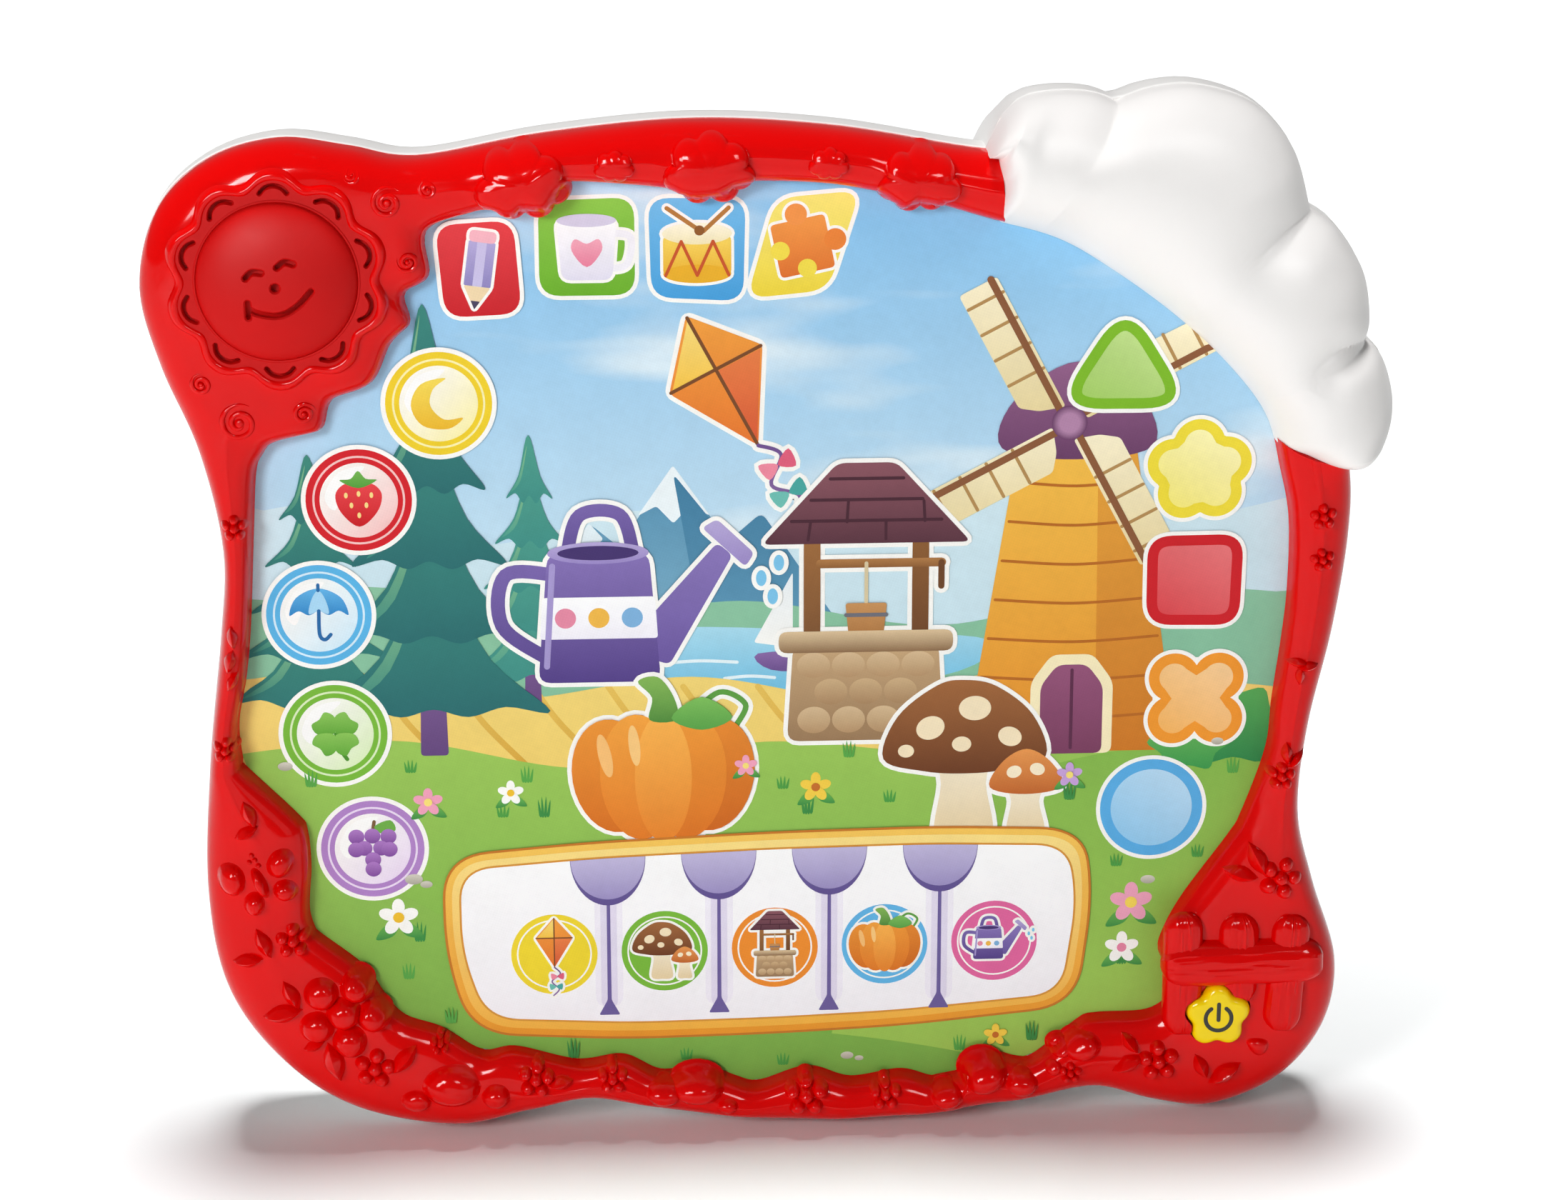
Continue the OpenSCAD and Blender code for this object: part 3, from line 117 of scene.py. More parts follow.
# %% [markdown]
# A smooth line through given points could be a Bezier curve, but its handles would have to be
# set by hand. A Catmull-Rom spline needs none: each stretch looks at the two points beside it.

# %% Curves and reaches


def between(a, b, c, d, t):
    """A point of the smooth stretch from b to c, with a before it and d after it."""
    return 0.5 * (2 * b + (c - a) * t + (2 * a - 5 * b + 4 * c - d) * t**2 + (3 * b - a - 3 * c + d) * t**3)


def closed_curve(points, steps=8):
    p = [Vector(q) for q in points]
    n = len(p)
    stretches = [(p[i - 1], p[i], p[(i + 1) % n], p[(i + 2) % n]) for i in range(n)]
    return [between(*stretch, k / steps) for stretch in stretches for k in range(steps)]


def open_curve(points, steps=8):
    p = [Vector(q) for q in points]
    p = [p[0], *p, p[-1]]
    return [between(*p[i : i + 4], k / steps) for i in range(len(p) - 3) for k in range(steps)] + [p[-1]]


def bearing(q):
    return degrees(atan2(q[1] - MID.y, q[0] - MID.x)) % 360


def reach_of(curve, turns=(-360, 0, 360)):
    table = sorted((bearing(q) + t, (q - MID).length) for q in curve for t in turns)
    angles = [row[0] for row in table]

    def reach(angle):
        i = min(max(bisect_right(angles, angle), 1), len(table) - 1)
        (a, low), (b, high) = table[i - 1], table[i]
        return low + (high - low) * min(max((angle - a) / max(b - a, 1e-9), 0), 1)

    return reach


def on_ray(angle, reach):
    return MID + reach * Vector((cos(radians(angle)), sin(radians(angle))))


edge = reach_of(closed_curve(EDGE))
window = reach_of(closed_curve(WINDOW))
print("frame width at the right:", round(edge(0) - window(0), 1), "mm")

# %% [markdown]
# Most pieces here are a row of points that travels and changes shape: the frame's section
# round the window, the rear shell's ring towards its back. Extruding the edges of the first
# row again and again, and putting each new row in its place, makes all of them. Such a loft is
# open at its ends until a cap closes them.

# %% Lofting


def loft(bm, rows):
    """Extrudes a closed first row of points through all the others; gives the first and last rows."""
    row = first = [bm.verts.new(p) for p in rows[0]]
    edges = [bm.edges.new((row[i - 1], row[i])) for i in range(len(row))]
    for places in rows[1:]:
        made = set(bmesh.ops.extrude_edge_only(bm, edges=edges)["geom"])
        row = [next(e.other_vert(v) for e in v.link_edges if e.other_vert(v) in made) for v in row]
        for v, place in zip(row, places):
            v.co = place
        edges = [bm.edges.get((row[i - 1], row[i])) for i in range(len(row))]
    return first, row


def cap(bm, *rows):
    """Fills closed rows of vertices with a face each."""
    for row in rows:
        edges = [bm.edges.get((row[i - 1], row[i])) for i in range(len(row))]
        bmesh.ops.edgeloop_fill(bm, edges=edges)


def outwards(bm):
    bmesh.ops.remove_doubles(bm, verts=bm.verts, dist=1e-7)
    bmesh.ops.recalc_face_normals(bm, faces=bm.faces)


block = bmesh.new()
cap(block, *loft(block, [[spot(x, y, z) for x, y in ((0, 0), (9, 0), (9, 9), (0, 9))] for z in (0, 9)]))
print("a lofted block has", len(block.faces), "faces")
block.free()

# %% [markdown]
# Holes and slots are cut with a Boolean, which is the surest way to cut a shape that is already
# round. A finished piece is shaded smooth with crisp edges, rides on the body that carries it
# and hides the solid it stands for.

# %% Cutting and handing over


def join(bm, part):
    """Adds a finished mesh to another; small meshes grow faster than one large mesh does."""
    mesh = bpy.data.meshes.new("part")
    part.to_mesh(mesh)
    part.free()
    bm.from_mesh(mesh)
    bpy.data.meshes.remove(mesh)


def carve(bm, cutter, crossing=False):
    """Takes the cutter's volume out of a closed mesh, with a Boolean modifier that is applied at once."""
    made = []
    for part in (bm, cutter):
        outwards(part)
        mesh = bpy.data.meshes.new("carving")
        part.to_mesh(mesh)
        part.free()
        made.append(bpy.data.objects.new("carving", mesh))
        bpy.context.collection.objects.link(made[-1])
    cut = made[0].modifiers.new("cut", "BOOLEAN")
    cut.operation, cut.solver, cut.object, cut.use_self = "DIFFERENCE", "EXACT", made[1], crossing
    result = bmesh.new()
    result.from_mesh(made[0].evaluated_get(bpy.context.evaluated_depsgraph_get()).to_mesh())
    for obj in made:
        mesh = obj.data
        bpy.data.objects.remove(obj)
        bpy.data.meshes.remove(mesh)
    return result


def piece(name, bm, finish, body="case", stands_for=(), sharp=38):
    """Makes the object, lets it ride on its body and hides the solids it stands for."""
    mesh = bpy.data.meshes.new(name)
    bm.to_mesh(mesh)
    bm.free()
    mesh.polygons.foreach_set("use_smooth", [True] * len(mesh.polygons))
    mesh.set_sharp_from_angle(angle=radians(sharp))
    mesh.materials.append(finish)
    obj = bpy.data.objects.new(name, mesh)
    bpy.context.collection.objects.link(obj)
    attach(obj, body)
    if stands_for:
        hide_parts(*stands_for)
    print(name, len(mesh.polygons), "faces")


# %% [markdown]
# A finish is a small network of shader nodes. Written as plain sums it reads like arithmetic:
# the class below wraps a socket, and every plus or minus adds a Math node. Colours are mixed
# by a Mix node, because a Math node would turn them grey. Anything else comes from `node`.

# %% Tools for finishes


def srgb(code):
    """A colour as it is written on screen, such as #d81e1e, in the linear numbers that light uses."""
    parts = [int(code[i : i + 2], 16) / 255 for i in (1, 3, 5)]
    return (*[c / 12.92 if c <= 0.04045 else ((c + 0.055) / 1.055) ** 2.4 for c in parts], 1.0)


class Wire:
    """A socket that takes part in sums."""

    def __init__(self, tree, socket):
        self.tree, self.socket = tree, socket

    def node(self, kind, settings=None, inputs=None, output=0):
        made = self.tree.nodes.new(kind)
        for name, value in (settings or {}).items():
            setattr(made, name, value)
        for name, value in (inputs or {}).items():
            if isinstance(value, Wire):
                self.tree.links.new(value.socket, made.inputs[name])
            else:
                made.inputs[name].default_value = value
        return Wire(self.tree, made.outputs[output])

    def math(self, operation, a, b=0.0):
        return self.node("ShaderNodeMath", {"operation": operation}, {0: a, 1: b})

    def __add__(self, other):
        return self.math("ADD", self, other)

    def __sub__(self, other):
        return self.math("SUBTRACT", self, other)

    def __mul__(self, other):
        return self.math("MULTIPLY", self, other)

    def sine(self):
        return self.math("SINE", self)

    def clip(self):
        return self.node("ShaderNodeClamp", None, {"Value": self})

    def mix(self, low, high):
        """This value as the share of the second colour in a mix of two."""
        return self.node("ShaderNodeMix", {"data_type": "RGBA"}, {0: self, 6: low, 7: high}, output=2)

    def noise(self, size_mm, detail=2.0, roughness=0.5):
        """Soft random patches of about that size; self is the coordinates."""
        inputs = {"Vector": self, "Scale": 1 / (size_mm * MM), "Detail": detail, "Roughness": roughness}
        return self.node("ShaderNodeTexNoise", None, inputs)

    def bump(self, strength, height_mm):
        inputs = {"Height": self, "Strength": strength, "Distance": height_mm * MM}
        return self.node("ShaderNodeBump", None, inputs)


print("besides sums, a socket offers:", [name for name in vars(Wire) if not name.startswith("_")])

# %% [markdown]
# Most of this toy is moulded plastic, and one recipe with other numbers gives every kind of it:
# a colour that drifts a little, a gloss that is not quite even and a fine grain in the surface.
# A number that is the same all over goes straight to the shader's own socket.

# %% Moulded plastic
DRIFT_MM, GLOSS_MM, GLOSS_DRIFT, GRAIN_DEPTH = 14, 5, 0.1, 0.05


def start_finish(name, **constants):
    """A new material: gives it, its Principled shader and the object's own coordinates."""
    material = bpy.data.materials.new(name)
    material.use_nodes = True
    tree = material.node_tree
    shader = tree.nodes["Principled BSDF"]
    for socket, value in constants.items():
        shader.inputs[socket.replace("_", " ")].default_value = value
    here = Wire(tree, tree.nodes.new("ShaderNodeTexCoord").outputs["Object"])
    return material, shader, here


def feed(shader, socket, wire):
    wire.tree.links.new(wire.socket, shader.inputs[socket])


def moulded(name, code, rough, mottle=0.05, grain=0.05, grain_mm=0.35, **constants):
    """Moulded or drawn stock: a colour that drifts a little, uneven gloss and a fine grain."""
    material, shader, here = start_finish(name, **constants)
    colour = srgb(code)
    dark = (*[c * (1 - mottle) for c in colour[:3]], 1)
    light = (*[min(1, c * (1 + mottle)) for c in colour[:3]], 1)
    feed(shader, "Base Color", here.noise(DRIFT_MM, 3).mix(dark, light))
    feed(shader, "Roughness", (here.noise(GLOSS_MM, 4) - 0.5) * GLOSS_DRIFT + rough)
    feed(shader, "Normal", here.noise(grain_mm, 2).bump(grain, GRAIN_DEPTH))
    return material


# The frame's red has a high gloss with soft cloudy patches from a child's hands. The sun's has a
# fine spark-eroded grain, which makes it paler and duller. The whites and the yellow lie between.
red_gloss = moulded("red_gloss", "#de0202", 0.1, 0.04, 0.015, 2.2, Specular_IOR_Level=0.2)
red_satin = moulded("red_satin", "#c60404", 0.5, 0.06, 0.35, 0.16, Specular_IOR_Level=0.15)
cloud_white = moulded("cloud_white", "#f5f2f0", 0.42, 0.012, 0.02, 0.3)
white_shell = moulded("white_shell", "#f2f0ee", 0.32, 0.015, 0.0, 0.6)
button_yellow = moulded("button_yellow", "#ffdd00", 0.14, 0.03, 0.02, 1.2, Specular_IOR_Level=0.3)
print("finishes:", [m.name for m in (red_gloss, red_satin, cloud_white, white_shell, button_yellow)])

# %% [markdown]
# The frame is a hollow moulding: up a short side wall, over a broad round edge to a gently
# crowned crest, over a smaller lip and down a leaning wall to the printed sheet. It could be
# a cut and filleted block, but its window is wavy, so a section that travels round the window
# follows it better. It stops where the cloud starts, along the cloud's own two ends.

# %% Frame section
CREST, SIDE, LIP, FOOT, LEAN, WALL = 13.0, 4.0, 7.4, 5.8, 0.5, 2.2
EDGE_RUN, EDGE_SHARE, LIP_RUN, LIP_SHARE, CROWN, FULL_WIDTH = 11, 0.46, 9, 0.44, 0.4, 25
SIDE_HEIGHTS = (0, 1.4, 2.8)


def quarter(steps):
    """Angles of a quarter turn in even steps."""
    return [pi / 2 * k / steps for k in range(steps + 1)]


def frame_parts(w):
    """Runs of the round edge and of the lip, and the crown of the crest, for a frame w wide."""
    return min(EDGE_RUN, EDGE_SHARE * w), min(LIP_RUN, LIP_SHARE * w), CROWN * min(1, w / FULL_WIDTH)


def crest_height(u, w):
    """Height of the frame's skin at a distance u in from its outer edge."""
    run, lip, crown = frame_parts(w)
    if u < run:
        return SIDE + (CREST - SIDE) * sqrt(max(0, 1 - ((run - u) / run) ** 2))
    if u > w - lip:
        return LIP + (CREST - LIP) * sqrt(max(0, 1 - min(1, (u - w + lip) / lip) ** 2))
    return CREST + crown * sin(pi * (u - run) / (w - run - lip))


def frame_section(w):
    run, lip, _ = frame_parts(w)
    skin = [(0, z) for z in SIDE_HEIGHTS]
    skin += [(run * (1 - cos(t)), SIDE + (CREST - SIDE) * sin(t)) for t in quarter(9)]
    skin += [(u, crest_height(u, w)) for u in (run + (w - run - lip) * k / 6 for k in range(1, 6))]
    skin += [(w - lip * (1 - cos(t)), LIP + (CREST - LIP) * sin(t)) for t in reversed(quarter(7))]
    skin += [(w + LEAN * f, LIP + (FOOT - LIP) * f) for f in (0.35, 0.7, 1)]
    back = [(w + LEAN - WALL, FOOT), (w - lip - 0.3, CREST - WALL - 0.4), (run + 0.4, CREST - WALL)]
    return skin + back + [(WALL, SIDE), (WALL, 0)]


print("a frame 20 mm wide has", len(frame_section(20)), "points in its section")

# %% [markdown]
# Each row of the frame joins a point of the outer edge to a point of the window, and both travel
# round together from one end of the cloud to the other. The last few rows bend with the cloud's
# low end, so that the two mouldings meet along one curved line.

# %% Frame rows
ROWS, LAST_ROWS = 620, 14
EDGE_MEETS_TOP, EDGE_MEETS_LOW = (52.2, 245.8), (136.4, 170.3)
edge_from, edge_to = bearing(EDGE_MEETS_TOP), bearing(EDGE_MEETS_LOW) + 360
window_from, window_to = bearing(TOP_END[-1]), bearing(LOW_END[-1]) + 360
low_end_curve = open_curve(LOW_END[1:], 12)


def bend_of_low_end(s):
    """How far the low end's curve lies off the straight line between its two points."""
    s = min(max(s, 0), 1)
    straight = low_end_curve[0].lerp(low_end_curve[-1], s)
    return low_end_curve[round(s * (len(low_end_curve) - 1))] - straight


def frame_row(k):
    t = k / ROWS
    a, b = edge_from + (edge_to - edge_from) * t, window_from + (window_to - window_from) * t
    outer, inner = on_ray(a, edge(a % 360)), on_ray(b, window(b % 360))
    w = (outer - inner).length
    near_end = max(0, 1 - (ROWS - k) / LAST_ROWS)
    row = []
    for u, z in frame_section(w):
        p = outer.lerp(inner, u / w) + near_end * bend_of_low_end(u / w)
        row.append(spot(p.x, max(p.y, 0 if z > 0.1 or u < 1 else WALL), z))
    return row


frame_mesh = bmesh.new()
cap(frame_mesh, *loft(frame_mesh, [frame_row(k) for k in range(ROWS + 1)]))
print("frame before its holes:", len(frame_mesh.faces), "faces")

# %% [markdown]
# The frame has two holes, for the sun and for the power button. Both are soft flowers: a circle
# whose radius swells in waves. A ring of overlapping discs, which has sharper valleys, is a
# near relation and comes back on the printed keys.

# %% Holes for the sun and the button
BUTTON, BUTTON_R, BUTTON_GAP = (109, 31), 7.4, 0.35
SUN, SUN_PLATE_R, SUN_GAP = (-114.6, 219.7), 22.4, 0.5
BUTTON_WAVES = {"waves": 5, "swell": 0.11, "steps": 150}
THROUGH_FRAME = (3, 18)


def lobed(lobes, ring, r, turn=90, steps=120):
    """Outline of a ring of overlapping discs, as reaches at even angles."""
    outline = []
    for i in range(steps):
        angle = tau * i / steps
        off = (angle - radians(turn) + pi / lobes) % (tau / lobes) - pi / lobes
        outline.append((angle, ring * cos(off) + sqrt(max(0, r * r - (ring * sin(off)) ** 2))))
    return outline


def waved(r, waves=10, swell=0.055, steps=300):
    """Outline of a soft flower: broad waves with narrow valleys, one wave straight up."""
    outline = []
    for i in range(steps):
        up = cos(waves * (tau * i / steps - pi / 2))
        outline.append((tau * i / steps, r * (1 + swell * (up + 0.25 * (1 - up * up)))))
    return outline


def around(at, outline):
    """An outline of angles and reaches as points round a place."""
    return [Vector((at[0] + r * cos(a), at[1] + r * sin(a))) for a, r in outline]


def disc(at, r, steps=96):
    return around(at, [(tau * i / steps, r) for i in range(steps)])


def prism(bm, points, low, high):
    """A straight-walled block on an outline, from one height to another."""
    cap(bm, *loft(bm, [[spot(p[0], p[1], z) for p in points] for z in (low, high)]))


holes = bmesh.new()
button_hole = around(BUTTON, waved(BUTTON_R + BUTTON_GAP, **BUTTON_WAVES))
prism(holes, button_hole, *THROUGH_FRAME)
prism(holes, around(SUN, waved(SUN_PLATE_R + SUN_GAP)), *THROUGH_FRAME)
frame_mesh = carve(frame_mesh, holes)
piece("frame_skin", frame_mesh, red_gloss, stands_for=["front_frame"])

# %% [markdown]
# The raised figures are low puffs in the same mould: petals, leaves, stones. One puff
# is a profile spun round once and closed underneath. Copies of it are stretched, pinched or
# ridged into each figure and laid on the frame's skin, with a flared foot that sits in the
# skin like a fillet. Petals that overlap leave the small valleys that catch the light.

# %% A puff
PUFF = [
    (0, 1), (0.22, 0.985), (0.42, 0.93), (0.6, 0.82), (0.73, 0.68), (0.83, 0.5), (0.9, 0.32), (0.95, 0.17),
    (1.01, 0.06), (1.09, -0.04), (1.09, -0.4), (0, -0.4),
]


def spun(profile, steps):
    """A profile of (radius, height) spun round the height axis into a closed mesh."""
    bm = bmesh.new()
    verts = [bm.verts.new((r, 0, z)) for r, z in profile]
    edges = [bm.edges.new(pair) for pair in zip(verts, verts[1:])]
    bmesh.ops.spin(
        bm, geom=verts + edges, cent=(0, 0, 0), axis=(0, 0, 1), angle=tau, steps=steps, use_merge=True
    )
    outwards(bm)
    return bm


def template(name, bm):
    mesh = bpy.data.meshes.new(name)
    bm.to_mesh(mesh)
    bm.free()
    return mesh


puff = template("puff", spun(PUFF, 22))
print("one puff has", len(puff.polygons), "faces")

# %% [markdown]
# A puff could be set on the frame with a Shrinkwrap modifier, but the skin's height is known at
# every point, so each vertex is lifted by it directly. A shape function bends the round puff
# into a leaf or a drop on the way.

# %% Laying puffs on the skin
SUNK, ABOVE_FLOOR = 0.6, 0.2


def skin_height(x, y):
    """Height of the frame's skin under a point of the drawing."""
    a = bearing((x, y))
    outer = edge(a)
    return crest_height(max(outer - (Vector((x, y)) - MID).length, 0), outer - window(a))


def round_shape(x, y):
    return x, y, 0.0


def leaf_shape(x, y):
    """Pointed at both ends, with a ridge along the middle like a low roof."""
    narrow = max(0.0, 1 - min(1, x * x)) ** 0.7 * 0.95 + 0.06
    return x, y * narrow, (0.35 * max(0, 1 - abs(y) / 0.5) - 0.12) * max(0, 1 - x * x)


def drop_shape(x, y):
    return x, y * (0.75 - 0.35 * x), 0.0


def raise_puff(bm, x, y, long, wide, rise, turn=0.0, shape=round_shape, base=None):
    """Adds one puff: long and wide are half sizes, turn is the way its length points."""
    start = len(bm.verts)
    bm.from_mesh(puff)
    bm.verts.ensure_lookup_table()
    way = Vector((cos(radians(turn)), sin(radians(turn))))
    for v in bm.verts[start:]:
        px, py, dent = shape(v.co.x, v.co.y)
        p = Vector((x, y)) + way * px * long + Vector((-way.y, way.x)) * py * wide
        under = skin_height(*p) if base is None else base
        lift = v.co.z * rise if v.co.z > -0.2 else -SUNK
        v.co = spot(p.x, max(p.y, ABOVE_FLOOR), under + lift + (dent * rise if v.co.z > 0 else 0))


print("skin height beside the button:", round(skin_height(*BUTTON), 1), "mm")

# %% [markdown]
# Flowers and leaves run along the lower lobes and both sides, and a butterfly sits at the left.
# A flower is five puffs about a sixth. A table gives the place, the size and the turn of each,
# because a moulder would have set them by eye.

# %% Flowers and leaves
PETAL_RING, PETAL, ANTENNA = 0.67, 0.37, 0.6
figures = bmesh.new()


def flower(x, y, r, turn=90):
    """Five round petals about a domed heart."""
    rise = 0.24 * r + 1.1
    for k in range(5):
        way = turn + 72 * k
        px, py = x + PETAL_RING * r * cos(radians(way)), y + PETAL_RING * r * sin(radians(way))
        raise_puff(figures, px, py, PETAL * r, 0.36 * r, rise, way)
    raise_puff(figures, x, y, PETAL * r, PETAL * r, rise * 1.1)


FLOWERS = [
    (-105.7, 36.1, 11.2, 63), (-117.3, 55.3, 4.2, 90), (-98.6, 21.3, 5.0, 80), (-82.5, 26.6, 2.5, 90),
    (-59.3, 17, 4.4, 80), (-40.4, 16.8, 3.7, 90), (7.4, 11.2, 5.4, 90), (27.1, 10.8, 3.9, 90),
    (94.9, 18.4, 5.0, 95), (73, 15.8, 2.8, 90), (123.6, 66.8, 5.4, 70), (122.8, 93.2, 3.4, 90),
    (130.2, 159, 3.2, 95), (130.4, 148.3, 2.9, 100), (-126.9, 160.4, 3.2, 90), (-131.4, 105, 3.2, 80),
]
LEAVES = [
    (-126.5, 88.5, 3.6, 112), (-127.4, 84, 3.2, 208), (-124.4, 55.2, 4.1, 114), (-128.4, 50.6, 3.7, 188),
    (-118.2, 41.4, 4.1, 117), (-120.5, 36.4, 4.9, 193), (-113.2, 27.8, 2.9, 204), (-108.5, 23.2, 5.4, 285),
    (-91.4, 23.4, 4.5, 48), (-53.3, 16, 3.1, 11), (117.8, 71.6, 4.7, 118), (113.7, 67.9, 4.3, 167),
    (123.8, 99.3, 2.8, 95), (126.4, 97.4, 2.6, 40), (125.4, 122.4, 2.4, 180), (128, 121.4, 2.6, 10),
    (126.2, 119.2, 2.4, 268), (87.8, 23.2, 3.2, 129), (87.5, 18, 4.1, 207), (105.6, 16.8, 3.7, 116),
    (111.6, 14.7, 4.6, 34), (-128.6, 133.4, 2.8, 95), (-129.4, 127.4, 3.0, 75), (-129, 122.4, 2.6, 240),
]
for row in FLOWERS:
    flower(*row)
for x, y, long, turn in LEAVES:
    raise_puff(figures, x, y, long, 0.5 * long, 1.2 + 0.3 * long, turn, leaf_shape)
BUTTERFLY = [
    (-131.6, 71.7, 4.1, 3.3, 95), (-119.6, 75.8, 3.7, 3.0, 62), (-118.6, 68.7, 2.9, 2.6, 330),
    (-126.2, 65.6, 3.0, 2.4, 262), (-124.6, 71, 4.0, 1.5, 112),
]
for x, y, long, wide, turn in BUTTERFLY:
    raise_puff(figures, x, y, long, wide, 3.2, turn)
for x, y in [(-127, 76.4), (-125.6, 77), (-126.4, 78.2), (-124.8, 75.6)]:
    raise_puff(figures, x, y, ANTENNA, ANTENNA, 1.5 * ANTENNA)
DROP = (119.4, 22, 2.9, 2.7, 1.6, 150)
raise_puff(figures, *DROP, drop_shape)
print("flowers", len(FLOWERS), "leaves", len(LEAVES))

# %% [markdown]
# Round stones lie along the bottom, and small clouds along the top. A cloud's outline is the
# outside of a bunch of discs. It is lofted inwards through a domed profile like that of a
# pressed biscuit, so that its edge is steep and its top is full.

# %% Stones and clouds
STONE_RISE = 1.3
STONES = [
    (-80, 15.8, 6.9, 5.3, 3.0), (-88.8, 12, 3.6, 3.0, 2.0), (-69.2, 12.8, 3.4, 3.2, 2.2),
    (-19.5, 14, 6.4, 4.6, 2.6), (-27.7, 12.4, 4.2, 3.3, 2.0), (-12.1, 8.6, 2.5, 1.9, 1.4),
    (51.3, 15.6, 5.7, 5.2, 2.9), (42.5, 9.8, 3.8, 3.3, 2.0), (61.1, 12.8, 3.9, 3.5, 2.1),
    (75.5, 22.4, 4.8, 3.7, 2.3), (70.4, 21.8, 3.0, 2.6, 1.9), (68.8, 17, 2.2, 2.0, 1.3),
]
for x, y, long, wide, rise in STONES:
    raise_puff(figures, x, y, long, wide, STONE_RISE * rise)
CLOUD_DISCS = [
    (-0.68, -0.22, 0.4), (-0.46, 0.3, 0.42), (0.06, 0.42, 0.44), (0.52, 0.24, 0.4), (0.72, -0.22, 0.36),
    (0.34, -0.5, 0.38), (-0.26, -0.52, 0.38),
]
BISCUIT = [
    (1.04, -0.5), (1.02, -0.05), (1.0, 0.18), (0.985, 0.4), (0.95, 0.6), (0.89, 0.77), (0.8, 0.89),
    (0.68, 0.97), (0.5, 1.04), (0.3, 1.08), (0.1, 1.1),
]


def disc_cloud(steps=110):
    """Outline round a bunch of discs: how far a ray from the middle runs before it leaves the last one."""
    outline = []
    for i in range(steps):
        way = Vector((cos(tau * i / steps), sin(tau * i / steps)))
        far = 0
        for x, y, r in CLOUD_DISCS:
            along, off = way @ Vector((x, y)), way.cross(Vector((x, y)))
            if abs(off) < r:
                far = max(far, along + sqrt(r * r - off * off))
        outline.append(way * far)
    return outline


CLOUDS = [
    (-58, 241.6, 10.2, 3.5), (-15.2, 244.4, 9.8, 3.5), (33.2, 241.2, 8.9, 3.5), (-37, 245.4, 4.3, 2.0),
    (12.2, 245.6, 4.3, 2.0),
]
for x, y, size, rise in CLOUDS:
    rows = []
    for share, lift in BISCUIT:
        ring = [Vector((x, y)) + size * share * q for q in disc_cloud()]
        rows.append([spot(q.x, q.y, skin_height(*q) + lift * rise) for q in ring])
    cloud_relief = bmesh.new()
    cap(cloud_relief, *loft(cloud_relief, rows))
    outwards(cloud_relief)
    join(figures, cloud_relief)
print("stones", len(STONES), "clouds", len(CLOUDS))

# %% [markdown]
# The small curls round the sun are ridges that wind inwards. Each is a round wire that is half
# sunk in the skin: a ring of points that follows a spiral, lofted like the frame.

# %% Curls
CURLS = [
    (-96.8, 244.2, 2.0, 200), (-88.9, 237.6, 3.9, 30), (-79.6, 240.6, 2.0, 120), (-84.6, 223.6, 2.6, 160),
    (-133, 195.4, 2.5, 90), (-124.6, 186, 4.7, 60), (-109.6, 187.8, 2.6, 10),
]
CURL_STEPS, WIRE_SIDES, WINDINGS = 44, 10, 1.75


def curl(x, y, size, turn):
    """A ridge that winds inwards about a small knob."""
    rows, wire = [], 0.42 + 0.05 * size
    for k in range(CURL_STEPS + 1):
        t = k / CURL_STEPS
        a, r = radians(turn) + WINDINGS * tau * t, size * (1 - 0.8 * t)
        thick = wire * min(1, 6 * t + 0.15, 8 * (1 - t) + 0.35)
        way = Vector((cos(a), sin(a)))
        ring = []
        for i in range(WIRE_SIDES):
            side, up = thick * cos(tau * i / WIRE_SIDES), thick * sin(tau * i / WIRE_SIDES)
            p = Vector((x, y)) + way * (r + side)
            ring.append(spot(p.x, p.y, skin_height(*p) + 0.05 + up))
        rows.append(ring)
    wound = bmesh.new()
    cap(wound, *loft(wound, rows))
    outwards(wound)
    join(figures, wound)
    raise_puff(figures, x, y, 0.24 * size, 0.24 * size, 0.9)


for row in CURLS:
    curl(*row)
print("curls", len(CURLS))

# %% [markdown]
# A little fence stands over the power button: three round-topped posts behind one rail, all
# with carved wood grain. A grid bent over an edge profile gives the rounded board, and noise
# that is stretched along the board pushes the grain in. Two posts stop at the button's hole.

# %% Fence
GRID_LONG, GRID_WIDE, GRAIN, POST_RISE, RAIL_RISE = 72, 26, 0.32, 3.3, 4.9


